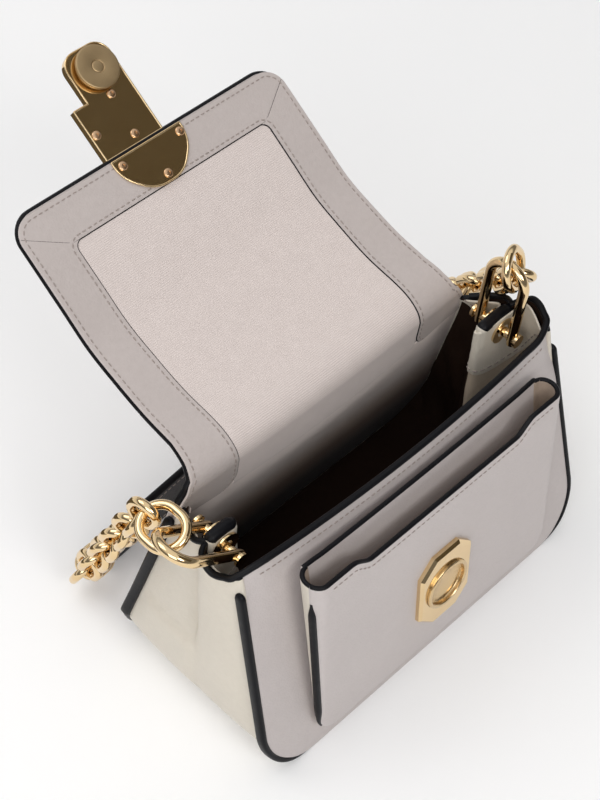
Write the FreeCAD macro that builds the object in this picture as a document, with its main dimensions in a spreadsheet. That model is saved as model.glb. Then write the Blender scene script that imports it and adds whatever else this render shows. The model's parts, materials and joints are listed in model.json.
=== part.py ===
import FreeCAD, Part
import math
import os

import Sketcher
from FreeCAD import Placement, Rotation, Vector

# Chain shoulder bag: a leather body with a front pocket, a flap that closes with a snap tab,
# and a chain strap.
# X is the width, -Y the front, +Z up. The origin is the middle of the base, on the surface it stands on.
# Lengths are millimetres and angles degrees. The flap lies open and the strap lies behind the bag.

SIZES = {
    # Leather body
    "base_width": 200.0,
    "base_depth": 98.0,
    "leather": 2.4,
    "lining": 0.8,
    "front_height": 108.0,
    "mouth_front": 15.981,
    "front_taper": 6.5,
    "back_height": 112.0,
    "mouth_back": 26.213,
    "back_taper": 20.0,
    "gusset_height": 99.0,
    "gusset_taper": 3.0,
    "corner_radius": 25.0,
    "lining_foot": 8.0,
    "lining_inset": 22.0,
    "lining_drop": 20.0,
    "board": 2.0,
    "board_inset": 8.0,
    # Painted edges
    "seam_edge": 2.0,
    "seam_drop": 9.0,
    "edge_paint": 1.2,
    # Pinched gusset folds with their eyelets
    "fold_place": 5.5,
    "fold_depth": 16.194,
    "fold_thickness": 6.0,
    "fold_top": 110.0,
    "fold_foot": 83.0,
    "pin_inset": 8.0,
    "pin_height": 101.0,
    "eyelet_flange": 13.0,
    "eyelet_barrel": 9.0,
    "eyelet_bore": 6.4,
    "eyelet_lip": 1.0,
    # Front pocket
    "pocket_foot": 9.0,
    "pocket_leather": 2.0,
    "pocket_back_spread": 4.4,
    "pocket_spread": 10.3,
    "pocket_inset": 26.0,
    "pocket_flare": 2.0,
    "pocket_back_slope": 96.0,
    "pocket_slope": 95.0,
    "pocket_corner": 10.0,
    "ear_inner": 54.3,
    "scoop_half": 43.0,
    "scoop_depth": 5.5,
    "pocket_side_slope": 90.0,
    "pocket_side_inset": 4.0,
    # Clasp on the pocket
    "clasp_height": 38.0,
    "clasp_width": 31.0,
    "clasp_length": 42.0,
    "clasp_cut": 8.0,
    "clasp_plate": 3.0,
    "clasp_bevel": 1.2,
    "cup_width": 24.0,
    "cup_bore": 20.4,
    "cup_depth": 4.4,
    "cup_floor": 2.0,
    "cup_magnet": 17.0,
    "cup_magnet_depth": 1.3,
    "washer_width": 20.0,
    "washer": 0.8,
    # Flap
    "flap_rise": 18.8,
    "flap_reach": 68.86,
    "fall_rise": 32.3,
    "fall_reach": 57.5,
    "flap_leather": 2.4,
    "facing": 1.2,
    "hinge_relief": 3.8,
    "fold_relief": 0.4,
    "neck_inset": 0.5,
    "shoulder_inset": 4.1,
    "shoulder_reach": 16.0,
    "flap_taper": 0.2,
    "fall_taper": 0.2,
    "side_border": 19.6,
    "end_border": 19.0,
    "flap_corner": 11.0,
    # Closing tab
    "tab_left": 19.5,
    "tab_right": 10.8,
    "tab_neck_left": 12.0,
    "tab_step": 24.3,
    "tab_length": 45.0,
    "tab_corner": 7.0,
    "tab_plate": 2.2,
    "tab_bevel": 0.7,
    "clamp_radius": 18.7,
    "clamp_round": 15.0,
    "clamp_shift": 1.3,
    "clamp_back": 1.0,
    "clamp_plate": 1.4,
    "screw_head": 3.9,
    "screw_rise": 0.6,
    "disc_reach": 34.7,
    "disc_width": 19.0,
    "disc_rise": 3.4,
    "disc_bevel": 0.6,
    "disc_dimple": 5.0,
    "disc_dimple_depth": 0.8,
    "snap_magnet": 14.0,
    "snap_magnet_depth": 1.6,
    # Shackles, rings, chain and strap
    "shackle_bar": 4.6,
    "shackle_spacing": 18.0,
    "shackle_height": 37.0,
    "shackle_tail": 4.0,
    "shackle_pin": 4.2,
    "pin_head": 6.4,
    "pin_head_depth": 1.2,
    "left_swing": 52.0,
    "ring_length": 23.4,
    "ring_width": 20.0,
    "ring_wire": 4.0,
    "ring_slack": 0.9,
    "left_ring_station": 24.0,
    "left_ring_grip": 7.0,
    "left_ring_tilt": 22.0,
    "right_ring_tilt": 38.0,
    "link_length": 19.15,
    "link_width": 15.2,
    "link_wire": 4.0,
    "link_slack": 1.1,
    "left_links": 11,
    "right_links": 14,
    "strap_span": 184.0,
    "strap_left": 76.0,
    "strap_width": 24.0,
    "strap_thickness": 3.6,
    "strap_end": 6.2,
    "strap_hole": 9.4,
    "strap_lift": 0.5,
    # Clearance between pieces that move or seat in each other
    "fit": 0.3,
}

# Places of the screws from the middle of the flap's free edge: across the flap, and outwards along it
TAB_SCREWS = ((-0.3, 23.0), (-16.8, 11.6), (-1.5, 4.4))
CLAMP_SCREWS = ((15.0, -4.5), (-16.2, -4.5), (-0.5, -16.4))

LINK_SIDES = 8
BEND_STEPS = 6
QUARTER_TURN = 90
HALF_TURN = 180
WHOLE_TURN = 360
THIRD_TURN = 120
EIGHTH_BEND = math.tan(math.radians(QUARTER_TURN / 4))
EDGE_REACH = 0.02
NOTHING = 1e-9
ACROSS = Vector(1, 0, 0)
AHEAD = Vector(0, 1, 0)
UPWARD = Vector(0, 0, 1)

doc = FreeCAD.newDocument("chain_shoulder_bag")
sheet = doc.addObject("Spreadsheet::Sheet", "Sizes")
for row, (name, number) in enumerate(SIZES.items(), start=1):
    sheet.set(f"A{row}", name)
    sheet.set(f"B{row}", str(number))
    sheet.setAlias(f"B{row}", name)
doc.recompute()


class Dim:
    """A size that carries its value together with its formula in the sheet's names."""

    def __init__(self, value, text):
        self.value = value
        self.text = text

    def __add__(self, other):
        other = dim(other)
        return Dim(self.value + other.value, f"({self.text} + {other.text})")

    def __sub__(self, other):
        other = dim(other)
        return Dim(self.value - other.value, f"({self.text} - {other.text})")

    def __mul__(self, other):
        other = dim(other)
        return Dim(self.value * other.value, f"({self.text} * {other.text})")

    def __truediv__(self, other):
        other = dim(other)
        return Dim(self.value / other.value, f"({self.text} / {other.text})")

    def __neg__(self):
        return Dim(-self.value, f"(0 - {self.text})")


def dim(item):
    """A Dim as it is, and a bare number as a Dim."""
    return item if isinstance(item, Dim) else Dim(float(item), f"({float(item)!r})")


def size(name):
    """The named size of the sheet."""
    return Dim(float(sheet.get(name)), f"Sizes.{name}")


def sine(angle):
    return Dim(math.sin(math.radians(angle.value)), f"sin({angle.text})")


def cosine(angle):
    return Dim(math.cos(math.radians(angle.value)), f"cos({angle.text})")


def tangent(angle):
    return Dim(math.tan(math.radians(angle.value)), f"tan({angle.text})")


def angle_of(rise, run):
    """The angle whose tangent is rise over run, in degrees."""
    share = rise / run
    return Dim(math.degrees(math.atan(share.value)), f"(atan({share.text}) / 1 deg)")


nodes = {}


def keep(item, label):
    """Gives the item its node's name and lists it among the pieces of the bag."""
    item.Label = label
    nodes[label] = item
    return item


def bind(item, prop, value):
    item.setExpression(prop, dim(value).text)


def place(item, spot=(0, 0, 0), axis=ACROSS, angle=0):
    """Puts the item at spot, turned about the axis, with every number bound to the sheet."""
    x, y, z = (dim(part) for part in spot)
    item.Placement = Placement(Vector(x.value, y.value, z.value), Rotation(axis, dim(angle).value))
    bind(item, "Placement.Base.x", x)
    bind(item, "Placement.Base.y", y)
    bind(item, "Placement.Base.z", z)
    if dim(angle).value:
        bind(item, "Placement.Rotation.Angle", angle)
    return item


def new_body(name):
    return doc.addObject("PartDesign::Body", name)


def sketch_on(body, role, level):
    """An empty sketch on one of the body's own planes, moved along that plane's normal by level."""
    made = body.newObject("Sketcher::SketchObject", body.Name + "_sketch")
    plane = [item for item in body.Origin.OriginFeatures if item.Role == role][0]
    made.AttachmentSupport = [(plane, "")]
    made.MapMode = "FlatFace"
    bind(made, "AttachmentOffset.Base.z", level)
    return made


def pin_point(sketch, geometry, spot, value, kind):
    """Fixes one coordinate of a sketch point to a size; a zero coordinate lies on the other axis."""
    if abs(value.value) < NOTHING:
        other_axis = -2 if kind == "DistanceX" else -1
        sketch.addConstraint(Sketcher.Constraint("PointOnObject", geometry, spot, other_axis))
        return
    if value.value < 0:
        value = -value
        rule = Sketcher.Constraint(kind, geometry, spot, -1, 1, value.value)
    else:
        rule = Sketcher.Constraint(kind, -1, 1, geometry, spot, value.value)
    index = sketch.addConstraint(rule)
    sketch.setExpression(f"Constraints[{index}]", value.text)


def polygon(body, role, points, level=0):
    """A closed outline through the points, each coordinate bound to its size."""
    made = sketch_on(body, role, level)
    points = [(dim(across), dim(along)) for across, along in points]
    corners = [Vector(across.value, along.value, 0) for across, along in points]
    count = len(corners)
    for index in range(count):
        made.addGeometry(Part.LineSegment(corners[index], corners[(index + 1) % count]), False)
    for index in range(count):
        made.addConstraint(Sketcher.Constraint("Coincident", index, 2, (index + 1) % count, 1))
    for index, (across, along) in enumerate(points):
        pin_point(made, index, 1, across, "DistanceX")
        pin_point(made, index, 1, along, "DistanceY")
    return made


def circle(body, role, across, along, width, level=0):
    """A circle of that diameter with its centre bound to the sheet."""
    made = sketch_on(body, role, level)
    across, along, radius = dim(across), dim(along), dim(width) / 2
    made.addGeometry(Part.Circle(Vector(across.value, along.value, 0), UPWARD, radius.value), False)
    pin_point(made, 0, 3, across, "DistanceX")
    pin_point(made, 0, 3, along, "DistanceY")
    index = made.addConstraint(Sketcher.Constraint("Radius", 0, radius.value))
    made.setExpression(f"Constraints[{index}]", radius.text)
    return made


def pad(body, sketch, length, reverse=False):
    made = body.newObject("PartDesign::Pad", body.Name + "_pad")
    made.Profile = sketch
    bind(made, "Length", length)
    made.Reversed = reverse
    return made


def drill(body, sketch):
    """Cuts the sketch right through the body, both ways."""
    made = body.newObject("PartDesign::Pocket", body.Name + "_hole")
    made.Profile = sketch
    made.Type = "ThroughAll"
    made.SideType = "Symmetric"
    return made


def revolve(body, points):
    """Turns a half profile, given as radius and height, about the body's own Z."""
    outline = polygon(body, "XZ_Plane", points)
    made = body.newObject("PartDesign::Revolution", body.Name + "_turn")
    made.Profile = outline
    made.ReferenceAxis = (outline, ["V_Axis"])
    made.Angle = WHOLE_TURN
    return made


def edge_names(feature, spots):
    """Names of the edges whose middle lies on one of the spots; None leaves a coordinate open."""
    found = []
    for index, edge in enumerate(feature.Shape.Edges, start=1):
        middle = edge.CenterOfMass
        for spot in spots:
            pairs = zip(spot, middle)
            if all(want is None or abs(dim(want).value - got) < EDGE_REACH for want, got in pairs):
                found.append(f"Edge{index}")
    return found


def round_edges(body, feature, spots, radius):
    doc.recompute()
    made = body.newObject("PartDesign::Fillet", body.Name + "_round")
    made.Base = (feature, edge_names(feature, spots))
    bind(made, "Radius", radius)
    return made


def bevel_edges(body, feature, spots, width):
    doc.recompute()
    made = body.newObject("PartDesign::Chamfer", body.Name + "_bevel")
    made.Base = (feature, edge_names(feature, spots))
    bind(made, "Size", width)
    return made


def boolean(kind, name, base, tool):
    made = doc.addObject("Part::" + kind, name)
    made.Base = base
    made.Tool = tool
    return made


def half_space(name, side, start):
    """A box that holds everything past start on one side of the middle plane."""
    made = doc.addObject("Part::Box", name)
    start = dim(start)
    span = size("base_width")
    bind(made, "Length", span)
    bind(made, "Width", span * 2)
    bind(made, "Height", span * 2)
    place(made, (start if side > 0 else -(start + span), -span, -span))
    return made


# Shared places of the leather body

seam = size("seam_edge")
half_depth = size("base_depth") / 2
front_lean = angle_of(half_depth - size("mouth_front"), size("front_height"))
back_lean = angle_of(half_depth - size("mouth_back"), size("back_height"))
pocket_back_lean = front_lean - size("pocket_back_spread")
pocket_lean = front_lean - size("pocket_spread")
half_base = size("base_width") / 2 - seam
front_half_top = half_base - size("front_taper")
back_half_top = half_base - size("back_taper")
gusset_half_top = half_base - size("gusset_taper")
front_foot = half_depth - size("leather") / cosine(front_lean)
back_foot = half_depth - size("leather") / cosine(back_lean)
front_slope = size("front_height") / cosine(front_lean)
back_slope = size("back_height") / cosine(back_lean)
hinge_y = back_foot - size("back_height") * tangent(back_lean)
hinge_z = size("back_height")

# The gussets' top corners, and the folds and pins that lie inside them

gusset_top = size("gusset_height")
gusset_front = front_foot - gusset_top * tangent(front_lean)
gusset_rear = back_foot - gusset_top * tangent(back_lean)
gusset_rear_half = half_base - size("back_taper") * gusset_top / size("back_height")
gusset_slant = (gusset_half_top - gusset_rear_half) / (gusset_rear - size("fold_place"))
fold_half = size("fold_thickness") / 2
fold_outer = gusset_half_top - size("leather") - gusset_slant * fold_half - size("fit")
fold_inner = fold_outer - size("fold_depth")
pin_reach = fold_inner + size("pin_inset")

# The flap's half widths from its neck to its free edge

flap_neck = back_half_top - size("neck_inset")
flap_shoulder = flap_neck - size("shoulder_inset")
flap_fold = flap_shoulder - size("flap_taper")
flap_tip = flap_fold - size("fall_taper")
flap_field = flap_fold - size("side_border")


def plate(name, foot_half, top_half, slope, thickness, level, outward, radius):
    """A panel that narrows upwards, with rounded lower corners, standing on its local X axis."""
    body = new_body(name)
    outline = polygon(
        body,
        "XZ_Plane",
        [(-foot_half, 0), (foot_half, 0), (top_half, slope), (-top_half, slope)],
        level,
    )
    raised = pad(body, outline, thickness, reverse=outward > 0)
    round_edges(body, raised, [(-foot_half, None, 0), (foot_half, None, 0)], radius)
    return body


def stand_front(item):
    return place(item, (0, -front_foot, 0), ACROSS, -front_lean)


def stand_back(item):
    return place(item, (0, back_foot, 0), ACROSS, back_lean)


def build_panels():
    """Front and back panels with their linings, painted side seams and the painted mouth edge."""
    back_top = back_slope - (size("hinge_relief") - size("fit"))
    sides = (
        ("front", stand_front, -1, front_half_top, front_slope),
        ("back", stand_back, 1, back_half_top, back_top),
    )
    for name, stand, outward, top_half, slope in sides:
        panel = plate(
            name + "_panel", half_base, top_half, slope, size("leather"), 0, outward, size("corner_radius")
        )
        keep(stand(panel), name + "_panel")
        seam_slope = slope - size("seam_drop")
        seam_top = half_base + (top_half - half_base) * seam_slope / slope + seam
        blank = plate(
            name + "_seam_blank",
            half_base + seam,
            seam_top,
            seam_slope,
            size("leather"),
            0,
            outward,
            size("corner_radius") + seam,
        )
        stand(blank)
        ring = boolean("Cut", name + "_seam_pair", blank, panel)
        for side, word in ((-1, "left"), (1, "right")):
            half = half_space(f"{name}_{word}_half", side, 0)
            keep(boolean("Common", f"{name}_{word}_seam", ring, half), f"{name}_{word}_seam")
        cover = new_body(name + "_lining")
        low = size("lining_foot")
        high = slope - size("lining_drop") if outward > 0 else slope
        low_half = half_base - size("lining_inset")
        high_half = top_half - size("leather") * 2
        pad(
            cover,
            polygon(
                cover,
                "XZ_Plane",
                [(-low_half, low), (low_half, low), (high_half, high), (-high_half, high)],
            ),
            size("lining"),
            reverse=outward < 0,
        )
        keep(stand(cover), name + "_lining")
    edge = new_body("mouth_edge")
    top = front_slope + size("edge_paint")
    pad(
        edge,
        polygon(
            edge,
            "XZ_Plane",
            [
                (-front_half_top, front_slope),
                (front_half_top, front_slope),
                (front_half_top, top),
                (-front_half_top, top),
            ],
            -size("lining"),
        ),
        size("leather") + size("lining"),
    )
    keep(stand_front(edge), "mouth_edge")


def core(name, inset, margin):
    """The space between the panels up to the gussets' top, with a crease down the middle of each side."""
    body = new_body(name)
    levels = (
        (dim(0), half_base, half_base, half_base, front_foot, dim(0), back_foot),
        (
            gusset_top,
            front_half_top,
            gusset_half_top,
            gusset_rear_half,
            gusset_front,
            size("fold_place"),
            gusset_rear,
        ),
    )
    outlines = []
    for level, front_half, mid_half, rear_half, front, mid, rear in levels:
        near = -(front + margin)
        far = rear + margin
        outlines.append(
            polygon(
                body,
                "XY_Plane",
                [
                    (-(front_half - inset), near),
                    (front_half - inset, near),
                    (mid_half - inset, mid),
                    (rear_half - inset, far),
                    (-(rear_half - inset), far),
                    (-(mid_half - inset), mid),
                ],
                level,
            )
        )
    loft = body.newObject("PartDesign::AdditiveLoft", name + "_loft")
    loft.Profile = outlines[0]
    loft.Sections = [outlines[1]]
    loft.Ruled = True
    return body


def tunnel(name, inset):
    """A prism along Y with the rounded lower corners that the panels have."""
    body = new_body(name)
    half = half_base - inset
    depth = size("base_depth") * 2
    raised = pad(
        body,
        polygon(
            body,
            "XZ_Plane",
            [(-half, inset), (half, inset), (half, size("front_height")), (-half, size("front_height"))],
            -(depth / 2),
        ),
        depth,
    )
    round_edges(body, raised, [(-half, None, inset), (half, None, inset)], size("corner_radius") - inset)
    return body


def build_gussets():
    """Base and gussets: one folded wall round the sides and floor, cut where the hide is joined."""
    none = dim(0)
    leather = size("leather")
    outer = boolean("Common", "wall_outer", core("core_outer", none, none), tunnel("tunnel_outer", none))
    hollow = core("core_inner", leather, leather)
    inner = boolean("Common", "wall_inner", hollow, tunnel("tunnel_inner", leather))
    wall = boolean("Cut", "wall", outer, inner)
    split = half_base - size("corner_radius")
    left = half_space("left_side", -1, split)
    right = half_space("right_side", 1, split)
    keep(boolean("Common", "left_gusset", wall, left), "left_gusset")
    keep(boolean("Common", "right_gusset", wall, right), "right_gusset")
    middle = boolean("Cut", "wall_less_left", wall, left)
    keep(boolean("Cut", "base_panel", middle, right), "base_panel")
    board = doc.addObject("Part::Box", "base_board")
    length = split * 2 - size("board_inset")
    width = size("base_depth") - leather * 2 - size("board_inset")
    bind(board, "Length", length)
    bind(board, "Width", width)
    bind(board, "Height", size("board"))
    place(board, (-(length / 2), -(width / 2), leather))
    keep(board, "base_board")


def build_folds():
    """The pinched fold inside each gusset, its painted top edge and the eyelet through it."""
    foot = size("fold_foot")
    top = size("fold_top")
    for side, word in ((-1, "left"), (1, "right")):
        fold = new_body(word + "_gusset_fold")
        near = fold_inner * side
        far = fold_outer * side
        raised = pad(
            fold,
            polygon(
                fold,
                "XZ_Plane",
                [(near, foot), (far, foot), (far, top), (near, top)],
                -fold_half,
            ),
            size("fold_thickness"),
        )
        round_edges(fold, raised, [(near, None, foot)], size("fold_thickness"))
        drill(
            fold,
            circle(
                fold,
                "XZ_Plane",
                pin_reach * side,
                size("pin_height"),
                size("eyelet_barrel") + size("fit") * 2,
            ),
        )
        keep(place(fold, (0, size("fold_place"), 0)), word + "_gusset_fold")
        edge = new_body(word + "_fold_edge")
        raised = pad(
            edge,
            polygon(
                edge,
                "XY_Plane",
                [(near, -fold_half), (far, -fold_half), (far, fold_half), (near, fold_half)],
                top,
            ),
            size("edge_paint"),
        )
        ends = [(near, -fold_half, None), (near, fold_half, None)]
        round_edges(edge, raised, ends, fold_half - size("fit"))
        keep(place(edge, (0, size("fold_place"), 0)), word + "_fold_edge")
        eyelet = new_body(word + "_eyelet")
        bore = size("eyelet_bore") / 2
        barrel = size("eyelet_barrel") / 2
        flange = size("eyelet_flange") / 2
        lip = fold_half + size("eyelet_lip")
        revolve(
            eyelet,
            [
                (bore, -lip),
                (flange, -lip),
                (flange, -fold_half),
                (barrel, -fold_half),
                (barrel, fold_half),
                (flange, fold_half),
                (flange, lip),
                (bore, lip),
            ],
        )
        spot = (pin_reach * side, size("fold_place"), size("pin_height"))
        keep(place(eyelet, spot, ACROSS, QUARTER_TURN), word + "_eyelet")


pocket_foot_y = -half_depth + size("pocket_foot") * tangent(front_lean)
pocket_root_y = pocket_foot_y - size("pocket_leather") * cosine(pocket_back_lean)
pocket_root_z = size("pocket_foot") + size("pocket_leather") * sine(pocket_back_lean)


def stand_pocket_back(item):
    return place(item, (0, pocket_foot_y, size("pocket_foot")), ACROSS, -pocket_back_lean)


def stand_pocket(item):
    return place(item, (0, pocket_root_y, pocket_root_z), ACROSS, -pocket_lean)


def on_pocket(along, outward):
    """The point of the middle plane that lies so far up the pocket's front and out from its inner face."""
    y = pocket_root_y + along * sine(pocket_lean) - outward * cosine(pocket_lean)
    z = pocket_root_z + along * cosine(pocket_lean) + outward * sine(pocket_lean)
    return (0, y, z)


def build_pocket():
    """The pocket: back wall on the front panel, scooped front wall, wedge-shaped sides and painted edges."""
    foot = half_base - size("pocket_inset")
    top = foot + size("pocket_flare")
    leather = size("pocket_leather")
    paint = size("edge_paint")
    back_slope_length = size("pocket_back_slope")
    back = plate(
        "pocket_back", foot, top, back_slope_length, leather, 0, -1, size("pocket_corner")
    )
    keep(stand_pocket_back(back), "pocket_back")
    rim = new_body("pocket_back_rim")
    rim_top = back_slope_length + paint
    pad(
        rim,
        polygon(
            rim,
            "XZ_Plane",
            [(-top, back_slope_length), (top, back_slope_length), (top, rim_top), (-top, rim_top)],
        ),
        leather,
    )
    keep(stand_pocket_back(rim), "pocket_back_rim")

    ear = size("pocket_slope")
    scoop = ear - size("scoop_depth")
    crest = [
        (top, ear),
        (size("ear_inner"), ear),
        (size("scoop_half"), scoop),
        (-size("scoop_half"), scoop),
        (-size("ear_inner"), ear),
        (-top, ear),
    ]
    front = new_body("pocket_front")
    raised = pad(front, polygon(front, "XZ_Plane", [(-foot, 0), (foot, 0)] + crest), leather)
    round_edges(front, raised, [(-foot, None, 0), (foot, None, 0)], size("pocket_corner"))
    keep(stand_pocket(front), "pocket_front")
    rim = new_body("pocket_front_rim")
    raised_crest = [(across, along + paint) for across, along in reversed(crest)]
    pad(rim, polygon(rim, "XZ_Plane", crest + raised_crest), leather)
    keep(stand_pocket(rim), "pocket_front_rim")

    side_slope = size("pocket_side_slope")
    wedge = [
        (dim(0), dim(0)),
        (side_slope * sine(pocket_lean), side_slope * cosine(pocket_lean)),
        (side_slope * sine(pocket_back_lean), side_slope * cosine(pocket_back_lean)),
    ]
    seam_low = size("pocket_corner")
    seam_high = ear - size("seam_drop")
    low_half = foot + (top - foot) * seam_low / ear
    high_half = foot + (top - foot) * seam_high / ear
    for side, word in ((-1, "left"), (1, "right")):
        wall = new_body(f"pocket_{word}_side")
        start = foot - size("pocket_side_inset")
        pad(wall, polygon(wall, "YZ_Plane", wedge, start * side), leather, reverse=side < 0)
        keep(place(wall, (0, pocket_root_y, pocket_root_z)), f"pocket_{word}_side")
        strip = new_body(f"pocket_{word}_seam")
        pad(
            strip,
            polygon(
                strip,
                "XZ_Plane",
                [
                    (low_half * side, seam_low),
                    ((low_half + seam) * side, seam_low),
                    ((high_half + seam) * side, seam_high),
                    (high_half * side, seam_high),
                ],
            ),
            leather,
        )
        keep(stand_pocket(strip), f"pocket_{word}_seam")


def build_clasp():
    """Faceted clasp plate with a round cup for the snap disc, a magnet under it and a washer behind."""
    base = size("pocket_leather")
    middle = size("clasp_height")
    half = size("clasp_width") / 2
    tall = size("clasp_length") / 2
    cut = size("clasp_cut")
    face = new_body("clasp_plate")
    low = middle - tall
    high = middle + tall
    outline = [
        (-(half - cut), low),
        (half - cut, low),
        (half, low + cut),
        (half, high - cut),
        (half - cut, high),
        (-(half - cut), high),
        (-half, high - cut),
        (-half, low + cut),
    ]
    raised = pad(face, polygon(face, "XZ_Plane", outline, base), size("clasp_plate"))
    front = -(base + size("clasp_plate"))
    bevel_edges(face, raised, [(None, front, None)], size("clasp_bevel"))
    drill(face, circle(face, "XZ_Plane", 0, middle, size("cup_width") + size("fit")))
    keep(stand_pocket(face), "clasp_plate")

    tilt = dim(QUARTER_TURN) - pocket_lean
    wide = size("cup_width") / 2
    bore = size("cup_bore") / 2
    seat = size("cup_magnet") / 2 + size("fit")
    floor = size("cup_floor")
    deep = size("cup_magnet_depth")
    cup = new_body("clasp_cup")
    revolve(
        cup,
        [
            (0, deep),
            (seat, deep),
            (seat, 0),
            (wide, 0),
            (wide, size("cup_depth")),
            (bore, size("cup_depth")),
            (bore, floor),
            (0, floor),
        ],
    )
    keep(place(cup, on_pocket(middle, base), ACROSS, tilt), "clasp_cup")
    magnet = doc.addObject("Part::Cylinder", "clasp_magnet")
    bind(magnet, "Radius", size("cup_magnet") / 2)
    bind(magnet, "Height", deep)
    keep(place(magnet, on_pocket(middle, base), ACROSS, tilt), "clasp_magnet")
    washer = doc.addObject("Part::Cylinder", "clasp_washer")
    bind(washer, "Radius", size("washer_width") / 2)
    bind(washer, "Height", size("washer"))
    keep(place(washer, on_pocket(middle, -size("washer")), ACROSS, tilt), "clasp_washer")


fold_y = hinge_y + size("flap_reach") * cosine(size("flap_rise"))
fold_z = hinge_z + size("flap_reach") * sine(size("flap_rise"))


def stand_flap(item):
    return place(item, (0, hinge_y, hinge_z), ACROSS, size("flap_rise"))


def stand_fall(item):
    return place(item, (0, fold_y, fold_z), ACROSS, size("fall_rise"))


def on_fall(across, along, rise):
    """The point so far across the front fall, along it from the fold and above its inner face."""
    lean = size("fall_rise")
    y = fold_y + along * cosine(lean) - rise * sine(lean)
    z = fold_z + along * sine(lean) + rise * cosine(lean)
    return (across, y, z)


def sheet_piece(label, points, top, thickness, stand):
    """A flat piece of the flap whose upper face lies at top above the flap's inner face."""
    body = new_body(label)
    raised = pad(body, polygon(body, "XY_Plane", points, top), thickness, reverse=True)
    stand(body)
    return body, raised


def build_flap():
    """The flap over the mouth and its front fall, each with leather, facing border and lining field."""
    roll = doc.addObject("Part::Cylinder", "hinge_fold")
    bind(roll, "Radius", size("hinge_relief") - size("fit"))
    bind(roll, "Height", flap_neck * 2)
    keep(place(roll, (-flap_neck, hinge_y, hinge_z), AHEAD, QUARTER_TURN), "hinge_fold")
    start = size("hinge_relief")
    shoulder = size("shoulder_reach")
    stop = size("flap_reach") - size("fold_relief")
    facing = size("facing")
    outline = [
        (-flap_neck, start),
        (flap_neck, start),
        (flap_shoulder, shoulder),
        (flap_fold, stop),
        (-flap_fold, stop),
        (-flap_shoulder, shoulder),
    ]
    hide, _ = sheet_piece("flap_leather", outline, -facing, size("flap_leather"), stand_flap)
    keep(hide, "flap_leather")
    for side, word in ((-1, "left"), (1, "right")):
        strip = [
            (flap_field * side, start),
            (flap_neck * side, start),
            (flap_shoulder * side, shoulder),
            (flap_fold * side, stop),
            (flap_field * side, stop),
        ]
        piece, _ = sheet_piece(f"flap_{word}_facing", strip, 0, facing, stand_flap)
        keep(piece, f"flap_{word}_facing")
    patch = [(-flap_field, start), (flap_field, start), (flap_field, stop), (-flap_field, stop)]
    piece, _ = sheet_piece("flap_lining", patch, 0, facing, stand_flap)
    keep(piece, "flap_lining")

    begin = size("fold_relief")
    end = size("fall_reach")
    inner_end = end - size("end_border")
    outline = [(-flap_fold, begin), (flap_fold, begin), (flap_tip, end), (-flap_tip, end)]
    corners = [(-flap_tip, end, None), (flap_tip, end, None)]
    hide, raised = sheet_piece("fall_leather", outline, -facing, size("flap_leather"), stand_fall)
    round_edges(hide, raised, corners, size("flap_corner"))
    keep(hide, "fall_leather")
    trim, raised = sheet_piece("fall_trim", outline, 0, facing, stand_fall)
    round_edges(trim, raised, corners, size("flap_corner"))
    shapes = {
        "fall_left_facing": [
            (-flap_field, begin),
            (-flap_fold, begin),
            (-flap_tip, end),
            (-flap_field, inner_end),
        ],
        "fall_right_facing": [
            (flap_field, begin),
            (flap_fold, begin),
            (flap_tip, end),
            (flap_field, inner_end),
        ],
        "fall_end_facing": [
            (-flap_field, inner_end),
            (flap_field, inner_end),
            (flap_tip, end),
            (-flap_tip, end),
        ],
    }
    for label, points in shapes.items():
        piece, _ = sheet_piece(label + "_blank", points, 0, facing, stand_fall)
        keep(boolean("Common", label, trim, piece), label)
    patch = [(-flap_field, begin), (flap_field, begin), (flap_field, inner_end), (-flap_field, inner_end)]
    piece, _ = sheet_piece("fall_lining", patch, 0, facing, stand_fall)
    keep(piece, "fall_lining")


def screw_group(label, places, level):
    """Round screw heads of one plate, as one group."""
    heads = []
    for number, (across, out) in enumerate(places):
        head = doc.addObject("Part::Cylinder", f"{label}_{number}")
        bind(head, "Radius", size("screw_head") / 2)
        bind(head, "Height", size("screw_rise"))
        place(head, on_fall(dim(across), size("fall_reach") + out, level), ACROSS, size("fall_rise"))
        heads.append(head)
    group = doc.addObject("Part::Compound", label)
    group.Links = heads
    return keep(group, label)


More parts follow.
